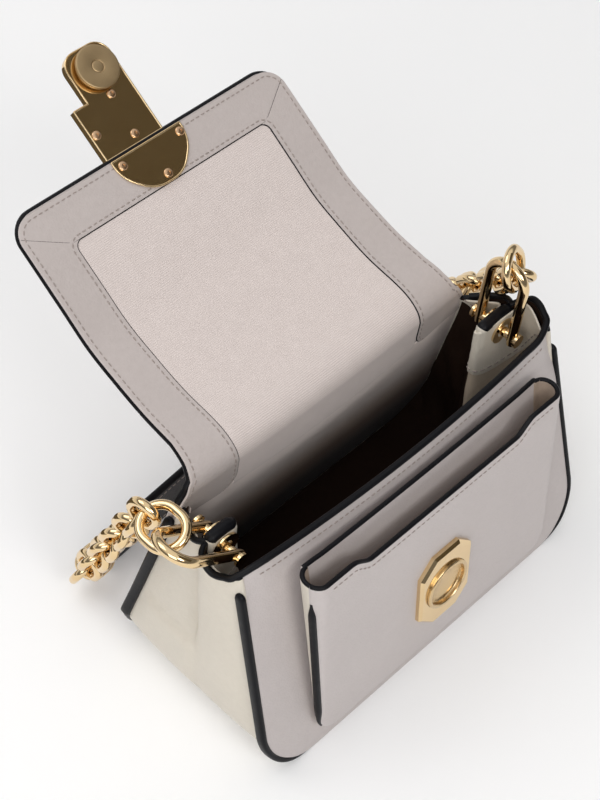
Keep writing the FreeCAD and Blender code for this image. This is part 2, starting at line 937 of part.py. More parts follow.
def build_tab():
    """The closing tab: plates that clamp the flap's edge, their screws, and the snap disc with its magnet."""
    edge = size("fall_reach")
    skin = size("facing") + size("flap_leather")
    plate_depth = size("tab_plate")
    left = size("tab_left")
    right = size("tab_right")
    neck_left = size("tab_neck_left")
    step = edge + size("tab_step")
    tip = edge + size("tab_length")
    start = edge + size("fit")
    back_top = plate_depth - skin
    outline = [
        (-left, start),
        (right, start),
        (right, tip),
        (-neck_left, tip),
        (-neck_left, step),
        (-left, step),
    ]
    tips = [(right, tip, None), (-neck_left, tip, None)]
    rear, raised = sheet_piece("tab_back_plate", outline, back_top, plate_depth, stand_fall)
    round_edges(rear, raised, tips, size("tab_corner"))
    keep(rear, "tab_back_plate")

    radius = size("clamp_radius")
    shift = size("clamp_shift")
    lap = size("clamp_back")
    grip = edge - lap - radius
    bent = radius * EIGHTH_BEND
    cover = [
        (-(shift + radius), edge - lap),
        (radius - shift, edge - lap),
        (radius - shift, grip + radius - bent),
        (bent - shift, grip),
        (-(shift + bent), grip),
        (-(shift + radius), grip + radius - bent),
    ]
    clamp, raised = sheet_piece("clamp_plate", cover, size("clamp_plate"), size("clamp_plate"), stand_fall)
    soft = [(point[0], point[1], None) for point in cover[2:]]
    round_edges(clamp, raised, soft, size("clamp_round"))
    keep(clamp, "clamp_plate")

    face = [
        (-left, grip),
        (right, grip),
        (right, tip),
        (-neck_left, tip),
        (-neck_left, step),
        (-left, step),
    ]
    front, raised = sheet_piece("tab_front_plate", face, -skin, plate_depth, stand_fall)
    rounded = round_edges(front, raised, tips, size("tab_corner"))
    bevel_edges(front, rounded, [(None, None, -(skin + plate_depth))], size("tab_bevel"))
    keep(front, "tab_front_plate")

    screw_group("tab_screws", TAB_SCREWS, back_top)
    screw_group("clamp_screws", CLAMP_SCREWS, size("clamp_plate"))

    wide = size("disc_width") / 2
    rise = size("disc_rise")
    dip = size("disc_dimple") / 2
    room = size("snap_magnet") / 2 + size("fit")
    roof = size("snap_magnet_depth")
    bevel = size("disc_bevel")
    disc = new_body("snap_disc")
    revolve(
        disc,
        [
            (0, roof),
            (room, roof),
            (room, 0),
            (wide, 0),
            (wide, rise - bevel),
            (wide - bevel, rise),
            (dip, rise),
            (dip, rise - size("disc_dimple_depth")),
            (0, rise - size("disc_dimple_depth")),
        ],
    )
    spot = on_fall(0, edge + size("disc_reach"), back_top)
    keep(place(disc, spot, ACROSS, size("fall_rise")), "snap_disc")
    magnet = doc.addObject("Part::Cylinder", "snap_magnet")
    bind(magnet, "Radius", size("snap_magnet") / 2)
    bind(magnet, "Height", roof)
    keep(place(magnet, spot, ACROSS, size("fall_rise")), "snap_magnet")


def build_shackle(word, side, swing):
    """A U-shaped shackle that straddles the gusset fold, and the pin through both its legs and the eyelet."""
    bar = size("shackle_bar") / 2
    half = size("shackle_spacing") / 2
    tail = size("shackle_tail")
    straight = size("shackle_height") - half
    bow = doc.addObject("Part::Torus", word + "_bow")
    bind(bow, "Radius1", half)
    bind(bow, "Radius2", bar)
    bow.Angle3 = HALF_TURN
    bow.Placement = Placement(Vector(0, 0, straight.value), Rotation(ACROSS + AHEAD + UPWARD, THIRD_TURN))
    bind(bow, "Placement.Base.z", straight)
    legs = []
    for end in (-1, 1):
        leg = doc.addObject("Part::Cylinder", f"{word}_leg_{'front' if end < 0 else 'back'}")
        bind(leg, "Radius", bar)
        bind(leg, "Height", straight + tail)
        legs.append(place(leg, (0, half * end, -tail)))
    bent = doc.addObject("Part::MultiFuse", word + "_bent_bar")
    bent.Shapes = [bow] + legs
    across = half + bar
    hole = doc.addObject("Part::Cylinder", word + "_pin_hole")
    bind(hole, "Radius", (size("shackle_pin") + size("fit")) / 2)
    bind(hole, "Height", across * 2 + tail)
    place(hole, (0, across + tail / 2, 0), ACROSS, QUARTER_TURN)
    shackle = boolean("Cut", word + "_shackle", bent, hole)
    spot = (pin_reach * side, size("fold_place"), size("pin_height"))
    keep(place(shackle, spot, AHEAD, swing), word + "_shackle")

    shank = doc.addObject("Part::Cylinder", word + "_shank")
    bind(shank, "Radius", size("shackle_pin") / 2)
    bind(shank, "Height", across * 2)
    place(shank, (0, across, 0), ACROSS, QUARTER_TURN)
    heads = []
    for end in (-1, 1):
        head = doc.addObject("Part::Cylinder", f"{word}_pin_head_{'front' if end < 0 else 'back'}")
        bind(head, "Radius", size("pin_head") / 2)
        bind(head, "Height", size("pin_head_depth"))
        start = -across if end < 0 else across + size("pin_head_depth")
        heads.append(place(head, (0, start, 0), ACROSS, QUARTER_TURN))
    pin = doc.addObject("Part::MultiFuse", word + "_pin")
    pin.Shapes = [shank] + heads
    keep(place(pin, spot, AHEAD, swing), word + "_pin")


def link_solid(length, width, wire):
    """An oval link of outer length along Y and width along X, its wire and its bends made of flats."""
    bend = (width - wire) / 2
    straight = (length - width) / 2
    turn = 2 * math.pi / LINK_SIDES
    radius = wire / 2 / math.cos(turn / 2)
    stations = []
    for end in (1, -1):
        for step in range(BEND_STEPS + 1):
            heading = math.pi * (step / BEND_STEPS + (0 if end > 0 else 1))
            outward = Vector(math.cos(heading), math.sin(heading), 0)
            middle = outward * bend + Vector(0, straight * end, 0)
            corners = []
            for side in range(LINK_SIDES):
                angle = turn * side + turn / 2
                aside = outward * (radius * math.cos(angle))
                corners.append(middle + aside + UPWARD * (radius * math.sin(angle)))
            stations.append(corners)
    faces = []
    for here, there in zip(stations, stations[1:] + stations[:1]):
        for side in range(LINK_SIDES):
            after = (side + 1) % LINK_SIDES
            flat = [here[side], here[after], there[after], there[side]]
            faces.append(Part.Face(Part.makePolygon(flat + flat[:1])))
    solid = Part.Solid(Part.Shell(faces))
    if solid.Volume < 0:
        solid.reverse()
    return solid


def lay(shape, centre, along, normal):
    """A copy of a link with its length along one direction and its flat side square to the other."""
    along = Vector(along).normalize()
    normal = (normal - along * normal.dot(along)).normalize()
    across = along.cross(normal)
    matrix = FreeCAD.Matrix(
        across.x, along.x, normal.x, centre.x,
        across.y, along.y, normal.y, centre.y,
        across.z, along.z, normal.z, centre.z,
        0, 0, 0, 1,
    )
    laid = shape.copy()
    laid.Placement = Placement(matrix)
    return laid


def feature(label, shape):
    made = doc.addObject("Part::Feature", label)
    made.Shape = shape
    return keep(made, label)


def read(name):
    return size(name).value


def build_chain():
    """Rings on the shackles, the chains down to the strap behind the bag, and the strap itself."""
    wire = read("link_wire")
    inner = read("link_length") - wire * 2
    fit = read("fit")
    pitch = inner - fit
    ring_wire = read("ring_wire")
    lead = inner / 2 - ring_wire / 2 - read("link_slack")
    tail = inner / 2 - wire / 2 - fit
    ring_half = (read("ring_length") - ring_wire) / 2
    seat = read("ring_length") / 2 - ring_wire - read("shackle_bar") / 2 - read("ring_slack")
    end_reach = read("link_length") - wire
    floor = read("strap_lift") + read("strap_width") / 2

    def run_length(word):
        return lead + pitch * (read(word + "_links") - 1) + tail

    # The left ring lies back round the back leg of its shackle; the right one hangs from its bow.
    swing = math.radians(read("left_swing"))
    left_pin = Vector(-pin_reach.value, read("fold_place"), read("pin_height"))
    left_leg = Vector(-math.sin(swing), 0, math.cos(swing))
    left_tilt = math.radians(read("left_ring_tilt"))
    right_tilt = math.radians(read("right_ring_tilt"))
    right_pin = Vector(pin_reach.value, read("fold_place"), read("pin_height"))
    bows = {
        "left": left_pin + left_leg * read("shackle_height"),
        "right": right_pin + UPWARD * read("shackle_height"),
    }
    aims = {
        "left": AHEAD,
        "right": Vector(math.sin(right_tilt), 0, -math.cos(right_tilt)),
    }
    held = left_pin + left_leg * read("left_ring_station") + AHEAD * (read("shackle_spacing") / 2)
    centres = {
        "left": held + aims["left"] * (ring_half - read("left_ring_grip")),
        "right": bows["right"] + aims["right"] * seat,
    }
    wires = {
        "left": Vector(math.cos(left_tilt), 0, math.sin(left_tilt)),
        "right": None,
    }
    joins = {word: centres[word] + aims[word] * ring_half for word in centres}

    # The left chain drops from its ring to the strap's end, which lies at a chosen place across the bag.
    left_x = -(read("strap_left") + end_reach)
    drop = joins["left"].z - floor
    aside = left_x - joins["left"].x
    back = math.sqrt(run_length("left") ** 2 - drop ** 2 - aside ** 2)
    left_end = Vector(left_x, joins["left"].y + back, floor)

    # The strap's other end lies where its own length and the right chain's length meet on the floor.
    span = read("strap_span") + end_reach * 2
    drop = joins["right"].z - floor
    reach = math.sqrt(run_length("right") ** 2 - drop ** 2)
    gap = Vector(joins["right"].x - left_end.x, joins["right"].y - left_end.y, 0)
    near = (span ** 2 - reach ** 2 + gap.Length ** 2) / (2 * gap.Length)
    off = math.sqrt(span ** 2 - near ** 2)
    line = Vector(gap).normalize()
    right_end = left_end + line * near + Vector(-line.y, line.x, 0) * off
    strap_line = (right_end - left_end).normalize()

    ring = link_solid(read("ring_length"), read("ring_width"), ring_wire)
    link = link_solid(read("link_length"), read("link_width"), wire)
    for word, end, inward in (("left", left_end, strap_line), ("right", right_end, strap_line * -1)):
        aim = aims[word]
        along = (end - joins[word]).normalize()
        # Each link hangs square to the wire that carries it; the turn left over is shared by all the links.
        across = wires[word] or aim.cross(along)
        first = (across - along * across.dot(along)).normalize()
        last = inward.cross(along).normalize()
        count = int(read(word + "_links"))
        turn = first.getAngle(last)
        if along.dot(first.cross(last)) < 0:
            turn = -turn
        quarter = math.pi / 2
        turn -= quarter * (count - 1)
        turn -= math.pi * round(turn / math.pi)
        feature(word + "_ring", lay(ring, centres[word], aim, across.cross(aim)))
        links = []
        for number in range(count):
            angle = (quarter + turn / (count - 1)) * number
            normal = first * math.cos(angle) + along.cross(first) * math.sin(angle)
            links.append(lay(link, joins[word] + along * (lead + pitch * number), along, normal))
        feature(word + "_chain", Part.makeCompound(links))
        feature(word + "_end_link", lay(link, end + inward * (end_reach / 2), inward, last.cross(inward)))
        print(f"{word} bow {bows[word]}, chain from {joins[word]} to {end}")

    strap = new_body("strap_leather")
    half = size("strap_span") / 2 + size("strap_end")
    tall = size("strap_width") / 2
    thick = size("strap_thickness")
    outline = [(-half, -tall), (half, -tall), (half, tall), (-half, tall)]
    raised = pad(strap, polygon(strap, "XZ_Plane", outline, -(thick / 2)), thick)
    ends = [(across, None, along) for across in (-half, half) for along in (-tall, tall)]
    round_edges(strap, raised, ends, size("strap_end"))
    for side in (-1, 1):
        drill(strap, circle(strap, "XZ_Plane", size("strap_span") / 2 * side, 0, size("strap_hole")))
    heading = math.degrees(math.atan2(strap_line.y, strap_line.x))
    strap.Placement = Placement((left_end + right_end) * 0.5, Rotation(UPWARD, heading))
    keep(strap, "strap_leather")


build_panels()
build_gussets()
build_folds()
build_pocket()
build_clasp()
build_flap()
build_tab()
build_shackle("left", -1, -size("left_swing"))
build_shackle("right", 1, dim(0))
build_chain()
doc.recompute()

for item in doc.Objects:
    if "Invalid" in item.State or "Error" in item.State:
        raise RuntimeError(f"{item.Label} failed: {item.State}")
for label, item in nodes.items():
    if item.Shape.isNull() or not item.Shape.isValid() or not item.Shape.Solids:
        raise RuntimeError(f"{label} has no valid solid")

os.makedirs("parts", exist_ok=True)
for label, item in nodes.items():
    item.Shape.exportStep(f"parts/{label}.step")
print(f"{len(nodes)} pieces; hinge at y {hinge_y.value:.3f} z {hinge_z.value:.3f}, "
      f"fold at y {fold_y.value:.3f} z {fold_z.value:.3f}")
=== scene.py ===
"""Looks of a chain shoulder bag: soft leather, woven lining, painted edges, stitching and polished metal.

Every piece is built in millimetres in the part's own frame (X across, -Y to the front, +Z up) and scaled to metres
when its mesh is made. Soft leather replaces the flat solids of the frame; rigid fittings keep or replace theirs.
"""

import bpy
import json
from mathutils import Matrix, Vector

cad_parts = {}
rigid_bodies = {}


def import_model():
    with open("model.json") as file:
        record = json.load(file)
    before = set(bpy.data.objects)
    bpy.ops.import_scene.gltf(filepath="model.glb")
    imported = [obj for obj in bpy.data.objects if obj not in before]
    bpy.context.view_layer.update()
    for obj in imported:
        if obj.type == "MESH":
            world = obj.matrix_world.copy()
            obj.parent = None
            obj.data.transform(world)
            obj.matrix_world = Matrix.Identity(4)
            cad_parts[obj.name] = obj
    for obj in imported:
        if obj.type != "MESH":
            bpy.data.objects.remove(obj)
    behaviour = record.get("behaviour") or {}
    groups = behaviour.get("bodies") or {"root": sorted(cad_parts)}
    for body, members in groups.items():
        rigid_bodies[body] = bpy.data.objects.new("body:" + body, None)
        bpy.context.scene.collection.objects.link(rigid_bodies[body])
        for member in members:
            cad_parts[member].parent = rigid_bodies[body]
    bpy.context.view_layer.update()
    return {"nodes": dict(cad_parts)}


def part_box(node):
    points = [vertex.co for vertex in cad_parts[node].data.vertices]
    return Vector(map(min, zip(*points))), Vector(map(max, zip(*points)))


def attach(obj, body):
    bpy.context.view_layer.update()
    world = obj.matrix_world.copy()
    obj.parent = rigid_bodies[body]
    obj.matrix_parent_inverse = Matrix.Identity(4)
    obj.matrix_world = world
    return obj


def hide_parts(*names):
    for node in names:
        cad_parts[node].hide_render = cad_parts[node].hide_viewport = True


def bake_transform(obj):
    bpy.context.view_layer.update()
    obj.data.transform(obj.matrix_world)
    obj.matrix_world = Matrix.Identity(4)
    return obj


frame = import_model()

import json
import logging
import math
from dataclasses import dataclass, field
from enum import Enum
from typing import Optional, Sequence

import bpy
import numpy as np
from mathutils import Matrix, Vector

LOG = logging.getLogger("bag")
MM = 0.001
UP = np.array([0.0, 0.0, 1.0])
Array = np.ndarray
Values = float | np.ndarray
Triple = tuple[float, float, float]
Piece = bpy.types.Object
Socket = bpy.types.NodeSocket


class Side(Enum):
    """Which side of the middle plane a piece lies on; the value is the sign of its X."""

    LEFT = -1
    RIGHT = 1

    @property
    def word(self) -> str:
        """The side's name as the nodes spell it."""
        return self.name.lower()


class Body(Enum):
    """The moving bodies of the frame."""

    BAG = "bag"
    TOP = "flap_top"
    FRONT = "flap_front"
    LEFT_SHACKLE = "left_shackle"
    RIGHT_SHACKLE = "right_shackle"
    STRAP = "strap"


@dataclass(frozen=True)
class Sizes:
    """Sizes of the bag in millimetres and degrees, as the solids have them."""

    base_half: float = 98.0
    front_top_half: float = 91.5
    back_top_half: float = 78.0
    front_height: float = 108.0
    back_height: float = 112.0
    front_foot: float = 46.49
    back_foot: float = 46.551
    front_lean: float = 17.0
    back_lean: float = 11.5
    leather: float = 2.4
    corner: float = 25.0
    fold_y: float = 5.5
    pin_x: float = 82.0
    pin_z: float = 101.0
    pocket_root_y: float = -48.2
    pocket_root_z: float = 9.436
    pocket_lean: float = 6.7
    pocket_back_y: float = -46.248
    pocket_back_z: float = 9.0
    pocket_back_lean: float = 12.6
    fold_line_y: float = 88.95
    fold_line_z: float = 134.19
    fall_rise: float = 32.3
    fall_reach: float = 57.5
    field_half: float = 53.6

    @property
    def gusset_half(self) -> float:
        """Half width of the gussets' middle surface at the floor."""
        return self.base_half - self.leather / 2


S = Sizes()


def tan(angle: float) -> float:
    """Tangent of an angle in degrees."""
    return math.tan(math.radians(angle))


def smooth(value: Values, low: float, high: float) -> Array:
    """Goes from 0 at low to 1 at high with level ends.

    Args:
        value: Where it is read.
        low: Start of the rise.
        high: End of the rise.

    Returns:
        3 t^2 - 2 t^3 with t the clipped share of the way.
    """
    t = np.clip((np.asarray(value, float) - low) / (high - low), 0.0, 1.0)
    return t * t * (3.0 - 2.0 * t)


def unit(vectors: Array) -> Array:
    """Vectors scaled to length 1 along their last axis."""
    return vectors / np.maximum(np.linalg.norm(vectors, axis=-1, keepdims=True), 1e-12)


def xyz(x: Values, y: Values, z: Values) -> Array:
    """Points from their coordinates, which are brought to one shape."""
    return np.stack(np.broadcast_arrays(x, y, z), axis=-1)


def tight(count: int, edge: float = 0.006) -> Array:
    """Numbers from 0 to 1 with one extra line close to each end, which keeps edges crisp.

    Args:
        count: How many even numbers there are.
        edge: Distance of the extra lines from the ends.

    Returns:
        Sorted numbers, count + 2 of them.
    """
    even = np.linspace(0.0, 1.0, count)
    return np.sort(np.concatenate([even, [edge, 1.0 - edge]]))


def mirrored(count: int, edge: float) -> Array:
    """Numbers from -1 to 1, spaced as tight spaces them."""
    return tight(count, edge) * 2.0 - 1.0


def quarter(count: int) -> Array:
    """Angles from 0 to a quarter turn, both ends included."""
    return np.linspace(0.0, math.pi / 2, count)


def circle(count: int) -> Array:
    """Angles once round, without the last one, which is the first again."""
    return np.linspace(0.0, 2.0 * math.pi, count, endpoint=False)


def corner_cut(distance: Values, radius: float) -> Array:
    """How far a rounded corner takes an outline in.

    Args:
        distance: Distances from the end of the outline.
        radius: The corner's radius r.

    Returns:
        r - sqrt(r^2 - (r - d)^2) within the radius of the end, and 0 further away.
    """
    near = np.clip(radius - np.asarray(distance, float), 0.0, radius)
    return radius - np.sqrt(np.maximum(radius**2 - near**2, 0.0))


def lengths_along(line: Array) -> Array:
    """Length of a polyline from its start to each of its points."""
    return np.concatenate([[0.0], np.cumsum(np.linalg.norm(np.diff(line, axis=0), axis=1))])


def through(knots: Sequence[Sequence[float]], count: int) -> Array:
    """A smooth line through knots: Catmull-Rom pieces, then points at even distances along it.

    Args:
        knots: Points of any dimension.
        count: How many points come back.

    Returns:
        Array of count points.
    """
    points = np.asarray(knots, float)
    padded = np.vstack([2 * points[0] - points[1], points, 2 * points[-1] - points[-2]])
    t = np.linspace(0.0, 1.0, 24, endpoint=False)[:, None]
    a, b, c, d = padded[:-3], padded[1:-2], padded[2:-1], padded[3:]
    a, b, c, d = (part[:, None, :] for part in (a, b, c, d))
    curve = 0.5 * (2 * b + (c - a) * t + (2 * a - 5 * b + 4 * c - d) * t**2 + (3 * b - a - 3 * c + d) * t**3)
    line = np.vstack([curve.reshape(-1, points.shape[1]), points[-1:]])
    return along(line, np.linspace(0.0, 1.0, count))


def along(line: Array, shares: Array) -> Array:
    """Points at given shares of a line's length.

    Args:
        line: Points of a polyline.
        shares: Numbers from 0 to 1.

    Returns:
        One point for each share.
    """
    steps = lengths_along(line)
    where = np.asarray(shares) * steps[-1]
    return np.stack([np.interp(where, steps, line[:, axis]) for axis in range(line.shape[1])], axis=-1)


class Finish:
    """A procedural material that is made once and then shared."""

    name: str

    def build(self) -> bpy.types.Material:
        """Makes the material on first use.

        Returns:
            The material.
        """
        label = self.name + "_look"
        found = bpy.data.materials.get(label)
        if found is not None:
            return found
        material = bpy.data.materials.new(label)
        material.use_nodes = True
        self.wire(Graph(material))
        return material

    def wire(self, graph: "Graph") -> None:
        """Adds the finish's nodes to a graph."""
        raise NotImplementedError


class Graph:
    """Short ways to add and join a material's nodes."""

    def __init__(self, material: bpy.types.Material) -> None:
        """Keeps the material's node tree and its main shader."""
        self.tree = material.node_tree
        self.shader = self.tree.nodes["Principled BSDF"]

    def feed(self, target: Socket, value: object) -> None:
        """Joins a socket to an input, or sets the input to a constant.

        Args:
            target: The input.
            value: The socket or constant.
        """
        if isinstance(value, Socket):
            self.tree.links.new(value, target)
        else:
            target.default_value = value

    def node(self, kind: str, **values: object) -> bpy.types.Node:
        """A new node.

        Args:
            kind: Node type without the ShaderNode prefix.
            values: Properties of the node, or what its inputs get, by name with spaces as underscores.

        Returns:
            The node.
        """
        made = self.tree.nodes.new("ShaderNode" + kind)
        for key, value in values.items():
            if hasattr(made, key):
                setattr(made, key, value)
            else:
                self.feed(made.inputs[key.replace("_", " ")], value)
        return made

    def coords(self, kind: str) -> Socket:
        """Texture coordinates: Object or UV."""
        return self.node("TexCoord").outputs[kind]

    def math(self, operation: str, a: object, b: object) -> Socket:
        """A maths node whose inputs are sockets or numbers.

        Args:
            operation: Name of the operation.
            a: First input.
            b: Second input.

        Returns:
            The result's socket.
        """
        made = self.node("Math", operation=operation)
        for target, value in zip(made.inputs, (a, b)):
            self.feed(target, value)
        return made.outputs[0]

    def ramp(self, source: Socket, low: float, high: float) -> Socket:
        """A socket's 0 to 1 mapped onto another range.

        Args:
            source: The socket.
            low: Value at 0.
            high: Value at 1.

        Returns:
            The mapped socket.
        """
        return self.node("MapRange", Value=source, To_Min=low, To_Max=high).outputs["Result"]

    def mix(self, share: Socket, a: Sequence[float], b: Sequence[float]) -> Socket:
        """Two colours mixed by a socket.

        Args:
            share: How much of the second there is.
            a: First colour.
            b: Second colour.

        Returns:
            The mixed colour's socket.
        """
        made = self.node("Mix", data_type="RGBA", Factor=share)
        first, second = (item for item in made.inputs if item.type == "RGBA")
        first.default_value = (*a, 1.0)
        second.default_value = (*b, 1.0)
        return next(item for item in made.outputs if item.type == "RGBA")

    def bump(self, height: Socket, strength: float, distance: float) -> None:
        """Presses a height into the surface.

        Args:
            height: The height socket.
            strength: Share of the full effect.
            distance: Depth in metres.
        """
        made = self.node("Bump", Height=height, Strength=strength, Distance=distance)
        self.shade(Normal=made.outputs["Normal"])

    def texture(self, kind: str, where: Socket, **values: object) -> bpy.types.Node:
        """A texture node read at given coordinates.

        Args:
            kind: Texture type without its prefix.
            where: The coordinates.
            values: As for node.

        Returns:
            The node.
        """
        return self.node("Tex" + kind, Vector=where, **values)

    def shade(self, **values: object) -> None:
        """Sets inputs of the main shader.

        Args:
            values: Sockets or constants by input name, with spaces as underscores.
        """
        for key, value in values.items():
            self.feed(self.shader.inputs[key.replace("_", " ")], value)


def fill_ramp(ramp: bpy.types.Node, stops: Sequence[tuple[float, Triple]]) -> None:
    """Sets the marks of a colour ramp.

    Args:
        ramp: The ramp's node, new.
        stops: Place and colour of each mark, in order.
    """
    marks = ramp.color_ramp.elements
    marks[0].position, marks[1].position = stops[0][0], stops[-1][0]
    for place, _ in stops[1:-1]:
        marks.new(place)
    for mark, (_, tone) in zip(marks, stops):
        mark.color = (*tone, 1.0)


@dataclass(frozen=True)
class Leather(Finish):
    """Fine-grained leather: pebbled cells, pores, and slow changes of tone."""

    name: str
    light: Triple
    dark: Triple
    cell: float = 1150.0
    depth: float = 0.00016
    roughness: tuple[float, float] = (0.42, 0.6)
    sheen: float = 0.1
    gloss: float = 0.4

    def wire(self, graph: Graph) -> None:
        """Voronoi cells give the grain, noise the pores and the tone.

        Args:
            graph: The material's node graph.
        """
        where = graph.coords("Object")
        cells = graph.texture("Voronoi", where, feature="SMOOTH_F1", Scale=self.cell, Smoothness=0.55)
        pores = graph.texture("Noise", where, Scale=self.cell * 2.6, Detail=3.0)
        tone = graph.texture("Noise", where, Scale=22.0, Detail=4.0, Roughness=0.6).outputs["Fac"]
        fine = graph.texture("Noise", where, Scale=420.0, Detail=2.0).outputs["Fac"]
        height = graph.math("ADD", cells.outputs["Distance"], graph.math("MULTIPLY", pores.outputs["Fac"], 0.35))
        graph.bump(height, 0.55, self.depth)
        blend = graph.math("ADD", graph.math("MULTIPLY", tone, 0.55), graph.math("MULTIPLY", fine, 0.45))
        graph.shade(
            Base_Color=graph.mix(graph.ramp(blend, -0.25, 1.25), self.dark, self.light),
            Roughness=graph.ramp(fine, *self.roughness),
            Sheen_Weight=self.sheen,
            Specular_IOR_Level=self.gloss,
        )


@dataclass(frozen=True)
class Cloth(Finish):
    """Ribbed cloth: raised ribs across the piece with fine threads over them, on the UV in metres."""

    name: str
    rib: float = field(default=0.0009, kw_only=True)
    thread: float = field(default=0.00045, kw_only=True)
    sheen: float = field(default=0.25, kw_only=True)

    def wire(self, graph: Graph) -> None:
        """Two band waves make ribs and threads; noise breaks them up.

        Args:
            graph: The material's node graph.
        """
        where = graph.coords("UV")
        period = 2.0 * math.pi / 20.0
        grain = {"Detail": 1.0}
        ribs = graph.texture("Wave", where, bands_direction="Y", Scale=period / self.rib, Distortion=0.6, **grain)
        threads = graph.texture("Wave", where, bands_direction="X", Scale=period / self.thread, Distortion=0.8, **grain)
        slub = graph.texture("Noise", where, Scale=160.0, Detail=3.0)
        wave = graph.texture("Noise", where, Scale=26.0, Detail=1.0)
        height = graph.math("ADD", ribs.outputs["Fac"], graph.math("MULTIPLY", threads.outputs["Fac"], 0.5))
        graph.bump(graph.math("ADD", height, graph.math("MULTIPLY", wave.outputs["Fac"], 9.0)), 0.5, 0.00018)
        # For the plain weave the blend darkens the hollows as painted shade; the slub noise adds random tone.
        blend = graph.math(
            "ADD", graph.math("MULTIPLY", height, 0.4), graph.math("MULTIPLY", slub.outputs["Fac"], 0.5)
        )
        graph.shade(Base_Color=self.tint(graph, blend), Roughness=0.85, Sheen_Weight=self.sheen)

    def tint(self, graph: Graph, blend: Socket) -> Socket:
        """The cloth's colour.

        Args:
            graph: The material's node graph.
            blend: How far the weave stands out, from 0 to 1.

        Returns:
            The colour's socket.
        """
        raise NotImplementedError


@dataclass(frozen=True)
class Weave(Cloth):
    """Ribbed cloth whose threads are lighter where they stand out, with painted shade in the hollows."""

    light: Triple
    dark: Triple

    def tint(self, graph: Graph, blend: Socket) -> Socket:
        """The dark tone in the hollows as painted shade, and the light one on the ribs."""
        return graph.mix(blend, self.dark, self.light)


@dataclass(frozen=True)
class FadedWeave(Cloth):
    """Ribbed beige cloth with painted shade that goes from dark brown at its foot to beige higher up; its height is in
    metres.
    """

    height: float = 0.09
    # Painted shade: near black at the foot of the cloth, beige from about two thirds of its height.
    stops: tuple[tuple[float, Triple], ...] = (
        (0.0, (0.006, 0.003, 0.002)),
        (0.18, (0.03, 0.014, 0.007)),
        (0.36, (0.27, 0.165, 0.11)),
        (0.5, (0.62, 0.48, 0.40)),
        (0.68, (0.86, 0.755, 0.70)),
        (1.0, (0.84, 0.745, 0.70)),
    )

    def tint(self, graph: Graph, blend: Socket) -> Socket:
        """The painted shade at the height up the cloth, the same in the hollows and on the ribs.

        Args:
            graph: The material's node graph.
            blend: Not used.

        Returns:
            The colour's socket.
        """
        split = graph.node("SeparateXYZ", Vector=graph.coords("UV"))
        share = graph.node("MapRange", Value=split.outputs["Y"], From_Max=self.height)
        shade = graph.node("ValToRGB", Fac=share.outputs["Result"])
        fill_ramp(shade, self.stops)
        return shade.outputs["Color"]


@dataclass(frozen=True)
class Paint(Finish):
    """Thick painted leather edge: nearly black, softly shiny, a little uneven."""

    name: str
    colour: Triple = (0.003, 0.003, 0.004)

    def wire(self, graph: Graph) -> None:
        """Noise moves tone, gloss and height slightly.

        Args:
            graph: The material's node graph.
        """
        wobble = graph.texture("Noise", graph.coords("Object"), Scale=380.0, Detail=3.0).outputs["Fac"]
        light = tuple(min(1.0, part * 2.2) for part in self.colour)
        graph.bump(wobble, 0.3, 0.0002)
        graph.shade(
            Base_Color=graph.mix(wobble, self.colour, light),
            Roughness=graph.ramp(wobble, 0.28, 0.5),
            Specular_IOR_Level=0.16,
        )


@dataclass(frozen=True)
class Metal(Finish):
    """Plated metal: a tinted mirror with faint hairlines and patches of wear in its gloss."""

    name: str
    light: Triple
    dark: Triple
    roughness: tuple[float, float] = (0.07, 0.17)
    grain: float = 0.02

    def wire(self, graph: Graph) -> None:
        """Noise sets the gloss and tone; fine noise gives hairlines.

        Args:
            graph: The material's node graph.
        """
        where = graph.coords("Object")
        wear = graph.texture("Noise", where, Scale=90.0, Detail=5.0, Roughness=0.65).outputs["Fac"]
        hair = graph.texture("Noise", where, Scale=2600.0, Detail=2.0)
        graph.bump(hair.outputs["Fac"], self.grain, 0.00005)
        graph.shade(
            Base_Color=graph.mix(wear, self.dark, self.light),
            Roughness=graph.ramp(wear, *self.roughness),
            Metallic=1.0,
        )


@dataclass(frozen=True)
class Backdrop(Finish):
    """Matt surface of the studio, with a faint glow of its own where asked."""

    name: str
    dark: Triple
    light: Triple
    glow: float = 0.0

    def wire(self, graph: Graph) -> None:
        """A nearly even tone.

        Args:
            graph: The material's node graph.
        """
        tone = graph.texture("Noise", graph.coords("Object"), Scale=3.0, Detail=2.0)
        graph.shade(
            Base_Color=graph.mix(tone.outputs["Fac"], self.dark, self.light),
            Roughness=0.9,
            Specular_IOR_Level=0.1,
            Emission_Color=(1.0, 1.0, 1.0, 1.0),
            Emission_Strength=self.glow,
        )


PANEL = Leather("panel_leather", (0.58, 0.527, 0.512), (0.50, 0.45, 0.436))
GUSSET = Leather("gusset_leather", (0.71, 0.653, 0.56), (0.63, 0.573, 0.485))
GUSSET_LINING = Leather("gusset_lining", (0.60, 0.505, 0.395), (0.49, 0.40, 0.30), cell=1500.0, depth=0.0001)
FACING = Leather("facing_leather", (0.565, 0.503, 0.48), (0.49, 0.433, 0.41), cell=1000.0)
STRAP_HIDE = Leather("strap_leather", (0.022, 0.021, 0.022), (0.012, 0.011, 0.012))
# Near-black lining for the inside of the bag: a dark brown lining, darkened further as painted shade for the shadow
# inside.
INNER_SHADE = Leather(
    "inner_lining", (0.032, 0.017, 0.011), (0.018, 0.009, 0.006), 1500.0, 0.0001, (0.7, 0.85), sheen=0.0, gloss=0.12
)
# The pocket's inside: its lining drawn dark brown as painted shade inside the pocket.
POCKET_SHADE = Leather("pocket_lining", (0.42, 0.33, 0.26), (0.32, 0.245, 0.19), cell=1500.0, depth=0.0001)
FIELD = Weave("woven_lining", (0.775, 0.685, 0.648), (0.63, 0.547, 0.512))
SHADED_FIELD = FadedWeave("deep_lining", sheen=0.1)
EDGE = Paint("edge_paint")
